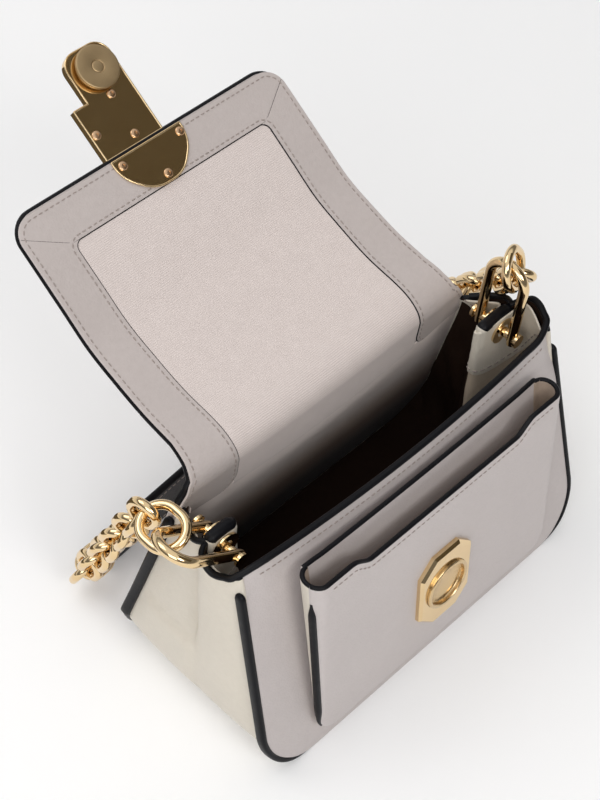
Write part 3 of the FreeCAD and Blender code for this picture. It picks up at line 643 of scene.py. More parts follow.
# Thread drawn darker than the leather it matches, as painted shade of the stitch holes.
SHADED_THREAD = Leather("thread", (0.40, 0.34, 0.31), (0.30, 0.25, 0.225), cell=3200.0, depth=0.0002)
GOLD = Metal("polished_metal", (0.86, 0.66, 0.39), (0.78, 0.57, 0.31), roughness=(0.04, 0.1))
DISC = Metal("matt_metal", (0.50, 0.365, 0.205), (0.38, 0.27, 0.145), roughness=(0.36, 0.52), grain=0.3)
CUP = Metal("cup_metal", (0.74, 0.56, 0.32), (0.62, 0.45, 0.25), roughness=(0.2, 0.32), grain=0.1)
SCREW = Metal("screw_metal", (0.70, 0.47, 0.29), (0.56, 0.36, 0.21), roughness=(0.2, 0.34))
FLOOR = Backdrop("backdrop", (0.9, 0.9, 0.9), (0.93, 0.93, 0.93), glow=0.085)
CARD = Backdrop("card", (0.10, 0.085, 0.06), (0.13, 0.11, 0.08))


def grid_quads(rows: int, cols: int, start: int = 0) -> Array:
    """Quads of a grid whose points run along the columns first.

    Args:
        rows: Rows of points.
        cols: Points in a row.
        start: Number of the first point.

    Returns:
        Array of quads; their normals point along (column direction) x (row direction).
    """
    index = np.arange(rows * cols).reshape(rows, cols) + start
    corners = (index[:-1, :-1], index[:-1, 1:], index[1:, 1:], index[1:, :-1])
    return np.stack(corners, axis=-1).reshape(-1, 4)


def tube_quads(rings: int, sides: int, closed: bool, start: int = 0) -> Array:
    """Quads of a tube made of closed rings of points.

    Args:
        rings: Number of rings.
        sides: Points in a ring.
        closed: Whether the last ring joins the first.
        start: Number of the first point.

    Returns:
        Array of quads.
    """
    index = np.arange(rings * sides).reshape(rings, sides) + start
    index = np.concatenate([index, index[:, :1]], axis=1)
    if closed:
        index = np.concatenate([index, index[:1]], axis=0)
    corners = (index[:-1, :-1], index[1:, :-1], index[1:, 1:], index[:-1, 1:])
    return np.stack(corners, axis=-1).reshape(-1, 4)


def make(
    name: str,
    points: Array,
    faces: Sequence[Array],
    finishes: Sequence[Finish],
    slots: Optional[Array] = None,
    uv: Optional[Array] = None,
    sharp: Optional[float] = None,
) -> Piece:
    """A mesh object from numbers.

    Args:
        name: Name of the piece.
        points: Points in millimetres.
        faces: Arrays of faces, each with its own count of corners.
        finishes: Materials in slot order.
        slots: Material slot of each face.
        uv: Texture place of each point, in metres.
        sharp: Angle in degrees above which an edge is drawn sharp.

    Returns:
        The object, at the origin.
    """
    mesh = bpy.data.meshes.new(name)
    corners = [row for block in faces for row in block.tolist()]
    mesh.from_pydata((np.asarray(points, float) * MM).tolist(), [], corners)
    for finish in finishes:
        mesh.materials.append(finish.build())
    count = len(mesh.polygons)
    mesh.polygons.foreach_set("use_smooth", np.ones(count, bool))
    if slots is not None:
        mesh.polygons.foreach_set("material_index", np.asarray(slots, np.int32))
    if uv is not None:
        layer = mesh.uv_layers.new(name="UVMap")
        owner = np.empty(len(mesh.loops), np.int32)
        mesh.loops.foreach_get("vertex_index", owner)
        layer.data.foreach_set("uv", np.asarray(uv, np.float32)[owner].ravel())
    if sharp is not None:
        mesh.set_sharp_from_angle(angle=math.radians(sharp))
    mesh.update()
    piece = bpy.data.objects.new(name, mesh)
    bpy.context.collection.objects.link(piece)
    return piece


def sheet_frame(grid: Array) -> tuple[Array, Array, Array]:
    """Directions that a sheet's thickness and edge follow.

    Args:
        grid: Its middle surface.

    Returns:
        Normals at all points, the numbers of the border's points in order, and the directions out of it.
    """
    rows, cols = grid.shape[:2]
    normal = unit(np.cross(np.gradient(grid, axis=1), np.gradient(grid, axis=0))).reshape(-1, 3)
    index = np.arange(rows * cols).reshape(rows, cols)
    loop = np.concatenate([index[0, :-1], index[:-1, -1], index[-1, :0:-1], index[:0:-1, 0]])
    border = grid.reshape(-1, 3)[loop]
    tangent = unit(np.roll(border, -1, axis=0) - np.roll(border, 1, axis=0))
    return normal, loop, unit(np.cross(tangent, normal[loop]))


def sheet(
    name: str,
    grid: Array,
    thickness: float,
    upper: Finish,
    lower: Finish,
    edge: Sequence[Finish],
    plain_rows: int = 0,
    steps: int = 6,
) -> Piece:
    """A piece of leather or cloth: a curved grid given thickness, with a half-round edge all round.

    The upper face is P + N h/2, the lower P - N h/2, and the edge turns from one to the other on the arc
    P + h/2 (O cos a + N sin a), with P the grid, N its normal, O the way out of the border and h the thickness.

    Args:
        name: Name of the piece.
        grid: Its middle surface, rows by columns.
        thickness: Thickness.
        upper: Finish of the face that the normals point out of.
        lower: Finish of the other face.
        edge: One finish, or those of the first row, last column, last row and first column.
        plain_rows: First rows whose side edges keep the upper face's finish.
        steps: Faces across the edge.

    Returns:
        The object, a closed mesh.
    """
    rows, cols = grid.shape[:2]
    half, total = thickness / 2, rows * cols
    normal, loop, outward = sheet_frame(grid)
    flat = grid.reshape(-1, 3)
    angles = math.pi / 2 - math.pi * np.arange(1, steps) / steps
    rim = (
        flat[loop][None]
        + outward[None] * (half * np.cos(angles))[:, None, None]
        + normal[loop][None] * (half * np.sin(angles))[:, None, None]
    )
    points = np.vstack([flat + normal * half, flat - normal * half, rim.reshape(-1, 3)])
    between = 2 * total + np.arange((steps - 1) * len(loop)).reshape(-1, len(loop))
    chain = np.vstack([loop[None], between, loop[None] + total])
    after = np.roll(chain, -1, axis=1)
    rim_quads = np.stack([chain[:-1], chain[1:], after[1:], after[:-1]], axis=-1).reshape(-1, 4)
    faces = [grid_quads(rows, cols), grid_quads(rows, cols, total)[:, ::-1], rim_quads]
    edge = tuple(edge) * (4 // len(edge))
    finishes = list(dict.fromkeys((upper, lower, *edge)))
    parts = [np.full(run, finishes.index(item)) for run, item in zip((cols - 1, rows - 1) * 2, edge)]
    parts[1][:plain_rows] = finishes.index(upper)
    parts[3][len(parts[3]) - plain_rows :] = finishes.index(upper)
    sides = [np.full(len(faces[0]), finishes.index(item)) for item in (upper, lower)]
    slots = np.concatenate([*sides, np.tile(np.concatenate(parts), steps)])
    wide = np.linalg.norm(np.diff(grid, axis=1, prepend=grid[:, :1]), axis=2).cumsum(axis=1)
    tall = np.linalg.norm(np.diff(grid, axis=0, prepend=grid[:1]), axis=2).cumsum(axis=0)
    place = np.stack([wide - wide[:, -1:] / 2, tall], axis=-1).reshape(-1, 2) * MM
    uv = np.vstack([place, place, np.tile(place[loop], (steps - 1, 1))])
    return make(name, points, faces, finishes, slots, uv)


def sweep(
    name: str,
    path: Array,
    section: Array,
    normal: Array,
    finish: Finish,
    closed: bool = False,
    taper: Optional[Array] = None,
) -> Piece:
    """A section carried along a path: P(t) + a (T x N) + b N for each section point (a, b).

    Args:
        name: Name of the piece.
        path: Points of the path.
        section: Points of the section, going round it.
        normal: Direction of the section's second number, one for all or one for each path point.
        finish: Its material.
        closed: Whether the path comes back to its start.
        taper: Scale of the section at each path point.

    Returns:
        The object, with flat ends where the path is open.
    """
    points, faces = sweep_points(path, section, normal, closed, taper)
    return make(name, points, faces, [finish], sharp=50.0 if not closed else None)


def sweep_points(
    path: Array, section: Array, normal: Array, closed: bool, taper: Optional[Array] = None
) -> tuple[Array, list[Array]]:
    """Points and faces of a sweep.

    Args:
        path: Points of the path.
        section: Points of the section.
        normal: Direction of the section's second number.
        closed: Whether the path comes back to its start.
        taper: Scale of the section at each path point.

    Returns:
        The points, and arrays of faces with both ends where the path is open.
    """
    if closed:
        tangent = unit(np.roll(path, -1, axis=0) - np.roll(path, 1, axis=0))
    else:
        tangent = unit(np.gradient(path, axis=0))
    normal = np.broadcast_to(np.asarray(normal, float), path.shape)
    side = unit(np.cross(tangent, normal))
    rise = np.cross(side, tangent)
    scale = np.ones(len(path)) if taper is None else taper
    shape = section[None] * scale[:, None, None]
    points = path[:, None] + side[:, None] * shape[..., :1] + rise[:, None] * shape[..., 1:]
    sides = len(section)
    faces = [tube_quads(len(path), sides, closed)]
    if not closed:
        first = np.arange(sides)[None]
        last = (np.arange(sides) + (len(path) - 1) * sides)[None, ::-1]
        faces += [first, last]
    return points.reshape(-1, 3), faces


def round_section(width: float, depth: float, sides: int = 20, power: float = 2.0) -> Array:
    """A closed superellipse |a / w|^n + |b / d|^n = 1, clockwise.

    Args:
        width: Full size across.
        depth: Full size along the normal.
        sides: Number of points.
        power: 2 is an ellipse; more is squarer.

    Returns:
        Points of the section.
    """
    angle = -circle(sides)
    c, s = np.cos(angle), np.sin(angle)
    return np.stack(
        [
            width / 2 * np.sign(c) * np.abs(c) ** (2.0 / power),
            depth / 2 * np.sign(s) * np.abs(s) ** (2.0 / power),
        ],
        axis=-1,
    )


def lathe(
    name: str,
    profile: Sequence[Sequence[float]],
    spot: Sequence[float],
    axis: Sequence[float],
    finish: Finish,
    sides: int = 72,
) -> Piece:
    """A profile of radius and height turned about an axis: spot + h A + r (U cos a + V sin a).

    Args:
        name: Name of the piece.
        profile: Radius and height pairs; both ends lie on the axis.
        spot: Place of height 0 on the axis.
        axis: Direction of the height.
        finish: Its material.
        sides: Points round the axis.

    Returns:
        The object.
    """
    rows = np.asarray(profile, float)
    direction = unit(np.asarray(axis, float))
    helper = np.array([1.0, 0.0, 0.0]) if abs(direction[0]) < 0.9 else np.array([0.0, 1.0, 0.0])
    u = unit(np.cross(direction, helper))
    v = np.cross(direction, u)
    angle = circle(sides)
    wheel = u * np.cos(angle)[:, None] + v * np.sin(angle)[:, None]
    body, foot = rows[1:-1], np.asarray(spot, float)
    points = foot + direction * body[:, None, 1:] + wheel[None] * body[:, None, :1]
    tips = foot + direction * rows[[0, -1], 1:]
    count = len(body) * sides
    first = np.arange(sides)
    last = first + count - sides
    faces = [
        tube_quads(len(body), sides, False)[:, ::-1],
        np.stack([np.full(sides, count), np.roll(first, -1), first], axis=-1),
        np.stack([np.full(sides, count + 1), last, np.roll(last, -1)], axis=-1),
    ]
    return make(name, np.vstack([points.reshape(-1, 3), tips]), faces, [finish], sharp=35.0)


def stitches(name: str, lines: Sequence[tuple[Array, Array]], pitch: float = 2.9) -> Piece:
    """Rows of thread: one flattened bead C + T x l/2 + B y w/2 + N z d for each stitch, x, y, z on a sphere.

    Args:
        name: Name of the piece.
        lines: Paths of the rows, each with the surface normal at its points.
        pitch: Distance from stitch to stitch.

    Returns:
        The object.
    """
    rings, sides = 5, 8
    filled, half_width, half_depth = 0.36, 0.32, 0.3
    polar = np.linspace(0.0, math.pi, rings + 2)[1:-1]
    around = circle(sides)
    x = np.sign(np.cos(polar)) * np.abs(np.cos(polar)) ** 0.7
    girth = np.sin(polar)[:, None]
    belt = xyz(x[:, None], girth * np.cos(around)[None], girth * np.sin(around)[None])
    ball = np.vstack([belt.reshape(-1, 3), [[1.0, 0.0, 0.0], [-1.0, 0.0, 0.0]]])
    ring = np.arange(sides)
    last = ring + (rings - 1) * sides
    caps = np.vstack(
        [
            np.stack([np.full(sides, rings * sides), ring, np.roll(ring, -1)], axis=-1),
            np.stack([np.full(sides, rings * sides + 1), np.roll(last, -1), last], axis=-1),
        ]
    )
    clouds, quads, ends = [], [], []
    base = tube_quads(rings, sides, False)
    count = 0
    for path, normal in lines:
        length = np.linalg.norm(np.diff(path, axis=0), axis=1).sum()
        number = max(2, int(round(length / pitch)))
        share = (np.arange(number) + 0.5) / number
        reach = filled / number
        spot = along(path, share)
        tangent = unit(along(path, np.clip(share + reach, 0, 1)) - along(path, np.clip(share - reach, 0, 1)))
        up = along(np.asarray(normal, float), share) if np.ndim(normal) == 2 else np.broadcast_to(normal, spot.shape)
        side = unit(np.cross(tangent, up))
        up = np.cross(side, tangent)
        long = length / number * filled
        bead = (
            spot[:, None]
            + tangent[:, None] * (ball[None, :, :1] * long)
            + side[:, None] * (ball[None, :, 1:2] * half_width)
            + up[:, None] * (ball[None, :, 2:] * half_depth)
        )
        clouds.append(bead.reshape(-1, 3))
        shift = (np.arange(number) * len(ball))[:, None, None] + count
        quads.append((base[None] + shift).reshape(-1, 4))
        ends.append((caps[None] + shift).reshape(-1, 3))
        count += number * len(ball)
    return make(name, np.vstack(clouds), [np.vstack(quads), np.vstack(ends)], [SHADED_THREAD])


def settle(piece: Piece, body: Body, nodes: Sequence[str] = ()) -> None:
    """Puts a piece on its body and hides the nodes that it stands for.

    Args:
        piece: The object.
        body: The body that it moves with.
        nodes: Nodes that it replaces.
    """
    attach(piece, body.value)
    if nodes:
        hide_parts(*nodes)


def dress(nodes: Sequence[str], finish: Finish) -> None:
    """Gives nodes of the frame a procedural finish.

    Args:
        nodes: Names of the nodes.
        finish: The material.
    """
    for name in nodes:
        item = frame["nodes"][name]
        item.data.materials.clear()
        item.data.materials.append(finish.build())


def outline_half(z: Array, foot: float, top: float, height: float, corner: float) -> Array:
    """Half the width of a panel at a height: a straight taper with a rounded lower corner.

    Args:
        z: Heights.
        foot: Half width that the taper has at the floor.
        top: Half width at the top.
        height: Height of the top.
        corner: Radius of the lower corners.

    Returns:
        foot - (foot - top) z / height, less what the corner cuts away.
    """
    z = np.asarray(z, float)
    return foot - (foot - top) * z / height - corner_cut(z, corner)


def panel_heights(low: float, high: float, corner: float, count: int) -> Array:
    """Row heights of a panel, close together round its lower corners.

    Args:
        low: Height of the first row.
        high: Height of the last row.
        corner: Radius of the lower corners.
        count: Even rows above the corners.

    Returns:
        Sorted heights, with one row just before the last.
    """
    curve = low + corner * (1.0 - np.cos(quarter(12)))
    rest = np.linspace(low + corner, high, count)[1:-1]
    return np.unique(np.concatenate([curve, rest, [high - 0.5, high]]))


BACK_EDGE = through(
    (
        (0.0, 98.0), (25.0, 95.2), (44.0, 92.6), (70.0, 89.8),
        (90.0, 87.2), (99.0, 85.2), (105.0, 82.6), (112.0, 78.4),
    ),
    120,
)


def back_half(z: Values) -> Array:
    """Half the width of the back panel at a height, without its lower corners: wide shoulders below a narrow neck."""
    return np.interp(z, BACK_EDGE[:, 0], BACK_EDGE[:, 1])


def front_plane(z: Values) -> Values:
    """Inner face of the flat front panel at a height."""
    return -S.front_foot + z * tan(S.front_lean)


def back_plane(z: Values) -> Values:
    """Inner face of the flat back panel at a height."""
    return S.back_foot - z * tan(S.back_lean)


def fold_line(z: Array) -> Array:
    """Where the gussets' crease lies from front to back at a height."""
    return np.interp(z, [0.0, 47.0, 100.0], [0.0, 1.0, S.fold_y])


@dataclass
class Shell:
    """Front panel, gussets with base, painted seams and the pinched folds with their eyelets."""

    front: Finish = PANEL
    side: Finish = GUSSET
    gusset_top: float = 104.0
    crease_half: float = 94.6
    mouth_corner: float = 7.0
    plump: float = 0.2
    seam_grow: float = 0.7
    front_bow: float = 4.8
    corner_turn: float = 2.6
    front_swell: float = 2.4
    back_swell: float = 1.2
    pleat_depth: float = 5.5
    ledge_height: float = 2.2
    inner_swell: float = 1.6
    left_shallow: float = 5.4
    tops: dict[Side, Array] = field(default_factory=dict)

    def front_y(self, x: Values, z: Values) -> Array:
        """Middle surface of the front panel: a leaning plane that bows forwards towards the mouth.

        Its upper corners turn back towards the gussets.

        Args:
            x: Places across.
            z: Heights.

        Returns:
            Places from front to back.
        """
        bow = self.front_bow * (1.0 - (x / 93.0) ** 2) * smooth(z, 15.0, 112.0)
        turn = self.corner_turn * smooth(np.abs(x), 82.0, 92.0) * smooth(z, 80.0, 106.0)
        return front_plane(z) - S.leather / 2 - bow + turn

    def build_front(self) -> None:
        """The front panel with its black mouth edge and a row of stitches below it."""
        inset = S.leather / 2 + self.plump
        heights = panel_heights(inset, S.front_height, S.corner - inset, 26)
        late = S.front_height - self.mouth_corner * (1.0 - np.sin(quarter(8)))
        heights = np.unique(np.concatenate([heights, late]))
        share = mirrored(61, 0.004)
        half = outline_half(
            heights - inset, S.base_half - inset, S.front_top_half - inset, S.front_height, S.corner - inset
        )
        half = half - 0.8 * corner_cut(S.front_height - heights, self.mouth_corner)
        x = half[:, None] * share[None]
        z = heights[:, None]
        grid = xyz(x, self.front_y(x, z), z)
        edges = (PANEL, PANEL, EDGE, PANEL)
        # Its inner face takes the near-black lining, painted shade inside the bag.
        panel = sheet("front_panel_leather", grid, S.leather + self.plump, self.front, INNER_SHADE, edges)
        settle(panel, Body.BAG, ("front_panel", "front_lining"))
        sewn_half, sewn_drop, sewn_out = 84.0, 2.9, 1.42
        forward = np.array([0.0, -0.956, 0.292])
        line_x = np.linspace(-sewn_half, sewn_half, 90)
        line_z = S.front_height - sewn_drop
        line = xyz(line_x, self.front_y(line_x, line_z) - sewn_out, line_z)
        thread = stitches("mouth_stitches", [(line, forward)])
        settle(thread, Body.BAG)

    def strip_path(self, foot: float, top: float, height: float, count: int) -> Array:
        """Half outline of a panel from its side's top down and round to the middle of the base.

        Args:
            foot: Half width at the floor.
            top: Half width at the top.
            height: Height of the top.
            count: Points on the straight side.

        Returns:
            X and Z pairs on the right-hand side.
        """
        r = S.corner - S.leather / 2
        z = np.linspace(height, S.corner, count)
        side = np.stack([outline_half(z, foot, top, height, 0.0), z], axis=-1)
        turn = quarter(13)[1:]
        wide = side[-1, 0]
        bend = np.stack([wide - r + r * np.cos(turn), S.corner - r * np.sin(turn)], axis=-1)
        floor = np.stack([np.linspace(bend[-1, 0], 0.0, 12)[1:], np.full(11, S.leather / 2)], axis=-1)
        return np.vstack([side, bend, floor])

    def crown(self, side: Side, y: Array) -> Array:
        """Height of a gusset's top edge; the left one dips and the right one stands up.

        Args:
            side: Which gusset.
            y: Places from front to back.

        Returns:
            Heights.
        """
        left = (-16.0, 106.5), (-10.0, 103.0), (-4.0, 101.5), (1.0, 104.5), (5.5, 107.0), (15.0, 103.5), (26.0, 101.0)
        right = (-16.0, 107.5), (-10.0, 111.0), (-4.0, 113.0), (1.0, 112.0), (5.5, 109.0), (15.0, 106.0), (26.0, 102.0)
        knots = np.array(left if side is Side.LEFT else right)
        fine = through(knots, 200)
        return np.interp(y, fine[:, 0], fine[:, 1])

    def build_gussets(self) -> None:
        """Gussets and base in one strip: straight rulings, an outward crease, and a pleat that deepens upwards.

        The pleat is d exp(-|y - y0| / w) with w short in front of the crease and long behind it, so the front half laps
        over the back half; a low ledge below it ends the pleat.
        """
        count, top = 38, self.gusset_top
        front = self.strip_path(S.gusset_half, S.front_top_half - 1.0, top, count)
        back = self.strip_path(S.gusset_half, S.back_top_half, top, count)
        back[:count, 0] = back_half(back[:count, 1]) - S.leather / 2
        back[count : count + 12, 0] += back[count - 1, 0] - back[count, 0] - (front[count - 1, 0] - front[count, 0])
        share = tight(57, 0.01)
        middle = np.interp(front[:, 1], [0.0, top], [S.gusset_half, self.crease_half])
        fold = fold_line(front[:, 1])
        front_y = front_plane(front[:, 1]) + 0.4
        back_y = back_plane(back[:, 1]) - 0.3
        y = front_y[:, None] + (back_y - front_y)[:, None] * share[None]
        z = front[:, 1][:, None] + (back[:, 1] - front[:, 1])[:, None] * share[None]
        ahead = np.clip((y - front_y[:, None]) / (fold - front_y)[:, None], 0.0, 1.0)
        behind = np.clip((y - fold[:, None]) / (back_y - fold)[:, None], 0.0, 1.0)
        upright = smooth(front[:, 1], 4.0, 40.0)[:, None]
        crease = (middle[:, None] - front[:, :1]) * upright
        wall = front[:, :1] + crease * ahead
        wall = wall + (back[:, :1] - (front[:, :1] + crease)) * behind
        swell = self.front_swell * np.sin(math.pi * ahead) * (behind <= 0) + self.back_swell * np.sin(math.pi * behind)
        swell = upright * swell
        past = y - fold[:, None]
        ease = np.where(past < 0.0, 1.4, 3.0 + 5.0 * (1.0 - smooth(z, 78.0, 94.0)))
        pinch = self.pleat_depth * smooth(z, 43.0, 64.0) * np.exp(-np.abs(past) / ease)
        ledge = self.ledge_height * smooth(z, 6.0, 40.0) * (1.0 - smooth(z, 45.0, 49.0))
        ledge = ledge * smooth(past, -3.0, 4.0) * (1.0 - smooth(behind, 0.7, 1.0))
        sides = []
        for side in Side:
            lift = smooth(z, 62.0, top) * (self.crown(side, y) - top)
            sides.append(xyz((wall + swell - pinch + ledge) * side.value, y, z + lift))
        grid = np.vstack([sides[0], sides[1][-2::-1]])
        self.tops = {Side.LEFT: sides[0][0], Side.RIGHT: sides[1][0]}
        # Its inner face takes the near-black lining, painted shade inside the bag.
        strip = sheet("gusset_and_base_leather", grid, S.leather, self.side, INNER_SHADE, (EDGE, self.side, EDGE, self.side))
        settle(strip, Body.BAG, ("left_gusset", "right_gusset", "base_panel"))

    def build_floor(self) -> None:
        """The lining on the base board, slightly uneven, with its ends turned up at the gussets."""
        half_width, half_depth, level = 88.0, 43.5, 3.6
        share = np.linspace(-1.0, 1.0, 31)
        x, y = share[None] * half_width, share[:, None] * half_depth
        z = level + 0.4 * np.sin(x / 17.0) * np.cos(y / 13.0) + 5.0 * smooth(np.abs(x), 70.0, 90.0)
        # The floor cloth takes the near-black lining: a dark sheet as painted shade on the bag's floor.
        floor = sheet("base_lining_cloth", xyz(x, y, z), 1.2, INNER_SHADE, INNER_SHADE, (INNER_SHADE,))
        settle(floor, Body.BAG, ("base_board",))

    def build_trim(self) -> None:
        """One painted edge round the mouth: from fold to fold past the front, and from each fold to the back."""
        section = round_section(2.9, 2.5, 20, 2.4)
        reach = np.linspace(-83.0, 83.0, 15)
        brow = xyz(reach, self.front_y(reach, S.front_height), S.front_height + 1.0)
        ends = {}
        for side in Side:
            top = self.tops[side] + [0.0, 0.0, 0.9]
            at = int(np.argmin(np.abs(top[:, 1] - S.fold_y)))
            ends[side] = (top[4:at:5], top[at:-2:5])
        count = 260
        front = through(np.vstack([ends[Side.LEFT][0][::-1], brow, ends[Side.RIGHT][0]]), count)
        share = np.linspace(0.0, 1.0, count)
        taper = np.minimum(smooth(share, -0.01, 0.015), 1.0 - smooth(share, 0.985, 1.01))
        trim = sweep("mouth_trim", front, section, UP, EDGE, taper=np.maximum(taper, 0.35))
        settle(trim, Body.BAG, ("mouth_edge",))
        for side in Side:
            rear = through(ends[side][1], 60)
            piece = sweep(f"{side.word}_rear_trim", rear, section * 0.9, UP, EDGE)
            settle(piece, Body.BAG)

    @staticmethod
    def capped(path: Array, reach: float, count: int) -> tuple[Array, Array, Array]:
        """A path whose start gets a round cap: scale sin t at the distance reach (1 - cos t).

        Args:
            path: Points of the path.
            reach: Length of the cap.
            count: Points after the cap.

        Returns:
            The new points, their shares of the length, and the scale at each.
        """
        length = lengths_along(path)[-1]
        turn = np.linspace(0.1, math.pi / 2, 10)
        place = np.concatenate([reach * (1.0 - np.cos(turn)), np.linspace(reach, length, count)[1:]])
        scale = np.concatenate([np.sin(turn), np.ones(count - 1)])
        return along(path, place / length), place / length, scale

    def build_seams(self) -> None:
        """Black painted seams down the sides of both panels, running out under the base."""
        section, straight = round_section(3.0, 4.8, 20, 2.8), 40
        for name, top, foot, lean, sign, high in (
            ("front", S.front_top_half, S.front_foot, S.front_lean, -1.0, 101.0),
            ("back", S.back_top_half, S.back_foot, S.back_lean, 1.0, 98.0),
        ):
            height = S.front_height if sign < 0 else S.back_height
            top_here = S.base_half - (S.base_half - top) * high / height
            half = self.strip_path(S.base_half + self.seam_grow, top_here + self.seam_grow, high, straight)
            half = half[: straight + 13]
            if sign > 0.0:
                half[:straight, 0] = back_half(half[:straight, 1]) + self.seam_grow
            half[:, 1] = np.maximum(half[:, 1] - 1.0, 0.4)
            for side in Side:
                y = sign * (foot + 0.6 - half[:, 1] * tan(lean))
                path = xyz(half[:, 0] * side.value, y, half[:, 1])
                lift = np.array([0.0, math.cos(math.radians(lean)) * sign, math.sin(math.radians(lean))])
                path, share, cap = self.capped(path, 3.0, 90)
                taper = np.minimum(cap, 1.0 - 0.75 * smooth(share, 0.78, 1.0))
                bead = sweep(f"{name}_{side.word}_seam_edge", path, section, lift, EDGE, taper=taper)
                settle(bead, Body.BAG, (f"{name}_{side.word}_seam",))

    def drape(self, side: Side, y: Array, z: Array) -> Array:
        """How far out the gusset's inner side lies: the wall less a fold D exp(-|(y - y0) / w|^n).

        The fold is a closed pinch at the top and opens into a wide soft pleat further down, so w grows and n falls.

        Args:
            side: Which gusset; the left fold is the shorter one.
            y: Places from front to back.
            z: Heights.

        Returns:
            Distances from the middle plane.
        """
        fold, front_y, back_y = fold_line(z), front_plane(z), back_plane(z)
        front_x = np.interp(z, [0.0, self.gusset_top], [S.gusset_half, S.front_top_half - 1.0])
        back_x = back_half(z) - S.leather / 2
        middle = np.interp(z, [0.0, self.gusset_top], [S.gusset_half, self.crease_half])
        ahead = np.clip((y - front_y) / (fold - front_y), 0.0, 1.0)
        behind = np.clip((y - fold) / (back_y - fold), 0.0, 1.0)
        wall = front_x + (middle - front_x) * ahead + (back_x - middle) * behind
        wall = wall + self.inner_swell * np.sin(math.pi * ahead) * (behind <= 0.0)
        wall = wall - corner_cut(z, S.corner) - S.leather
        depth = np.interp(z, [0.0, 25.0, 45.0, 60.0, 78.0, 92.0, 112.0], [3.0, 20.0, 27.0, 27.5, 24.5, 24.2, 23.2])
        depth = depth - (self.left_shallow * smooth(z, 5.0, 40.0) if side is Side.LEFT else 0.0)
        width = np.interp(z, [0.0, 45.0, 82.0, 94.0, 112.0], [20.0, 15.0, 6.5, 3.2, 3.1])
        power = np.interp(z, [0.0, 60.0, 94.0, 112.0], [1.5, 1.5, 3.4, 4.0])
        return wall - depth * np.exp(-(np.abs((y - fold) / width) ** power))

    @staticmethod
    def stations(start: float, stop: float) -> tuple[Array, Array]:
        """Columns of the gusset's inner side, close together at the fold.

        Args:
            start: First column: -1 is the front panel, 0 the fold and 1 the back panel.
            stop: Last column.

        Returns:
            Shares of the way from the fold, and places from front to back at the mouth.
        """
        t = np.linspace(start, stop, 65)
        share = np.sign(t) * np.abs(t) ** 1.9
        mouth_front, mouth_back = -14.0, 23.0
        reach = np.where(share < 0.0, (S.fold_y - mouth_front) * share, (mouth_back - S.fold_y) * share)
        return share, S.fold_y + reach

    def hang(self, side: Side, low: Array, high: Array, rows: int, share: Array) -> Array:
        """Grid of the gusset's inner side between two lines.

        Args:
            side: Which gusset.
            low: Height of the lower line at each column.
            high: Height of the upper line at each column.
            rows: Rows of points.
            share: The columns, as stations gives them.

        Returns:
            Grid whose normals point into the bag.
        """
        z = low[None] + (high - low)[None] * tight(rows, 0.02)[:, None]
        fold = fold_line(z)
        front_y = front_plane(z) + 1.6
        back_y = back_plane(z) - 1.6
        y = np.where(share[None] < 0.0, fold + (fold - front_y) * share[None], fold + (back_y - fold) * share[None])
        crinkle = np.sin(y / 2.6 - z / 6.5) * np.sin(z / 15.0 + 1.0) * (1.0 - smooth(z, 74.0, 86.0))
        x = (self.drape(side, y, z) + crinkle) * side.value
        grid = xyz(x, y, z)
        return grid[:, ::-1] if side is Side.LEFT else grid

    @staticmethod
    def band_foot(y: Array) -> Array:
        """Lower edge of the fold's leather band, lowest at the fold."""
        return 82.0 + 20.0 * smooth(np.abs(y - S.fold_y), 2.0, 19.0)

    def band_head(self, side: Side, y: Array) -> Array:
        """Upper edge of the band, a little below the gusset's top edge."""
        return self.crown(side, y) - 1.2 - 1.6 * (1.0 - smooth(np.abs(y - S.fold_y), 3.0, 6.0))

    def build_folds(self) -> None:
        """The pinched fold inside each gusset: a thick painted top, a stitched leather band, and lining below it."""
        for side in Side:
            self.build_pinch(side)
            share, y = self.stations(-1.0, 1.0)
            foot = self.band_foot(y)
            band = self.hang(side, foot, self.band_head(side, y), 15, share)
            piece = sheet(f"{side.word}_gusset_band", band, 1.0, self.side, self.side, (self.side,))
            settle(piece, Body.BAG)
            line = self.hang(side, foot + 2.2, foot + 2.4, 2, share)[0]
            inward = unit(np.cross(UP, np.gradient(line, axis=0)))
            thread = stitches(f"{side.word}_band_stitches", [(line + inward * 0.62, inward)], 3.6)
            settle(thread, Body.BAG)
            # The front half of each gusset's cloth is beige lining; the back half takes the near-black lining as
            # painted shade.
            for place, reach, finish in (("front", (-1.0, 0.22), GUSSET_LINING), ("back", (0.2, 1.0), INNER_SHADE)):
                share, y = self.stations(*reach)
                cloth = self.hang(side, np.full_like(y, 5.0), self.band_foot(y) + 1.6, 37, share)
                piece = sheet(f"{side.word}_{place}_gusset_cloth", cloth, 0.6, finish, finish, (finish,))
                settle(piece, Body.BAG)

    def build_pinch(self, side: Side) -> None:
        """The two layers of leather that the eyelet goes through.

        Args:
            side: Which gusset; the left fold is the shorter one.
        """
        across, upward = tight(15, 0.02), tight(19, 0.02)
        inner, outer = (77.0 if side is Side.LEFT else 71.6), 87.0
        foot, head, crest, thick = 88.0, 107.4, 0.6, 5.6
        top = head + crest * np.sin(math.pi * across)
        z = foot + (top - foot)[None] * upward[:, None]
        grid = xyz((inner + (outer - inner) * across)[None] * side.value, S.fold_y, z)
        grid = grid[:, ::-1] if side is Side.LEFT else grid
        edges = (self.side, self.side, EDGE, self.side)
        fold = sheet(f"{side.word}_fold_leather", grid, thick, self.side, self.side, edges)
        settle(fold, Body.BAG, (f"{side.word}_gusset_fold", f"{side.word}_fold_edge"))

    def build(self) -> None:
        """All pieces of the shell."""
        self.build_front()
        self.build_gussets()
        self.build_floor()
        self.build_trim()
        self.build_seams()
        self.build_folds()
        dress(("left_eyelet", "right_eyelet"), GOLD)


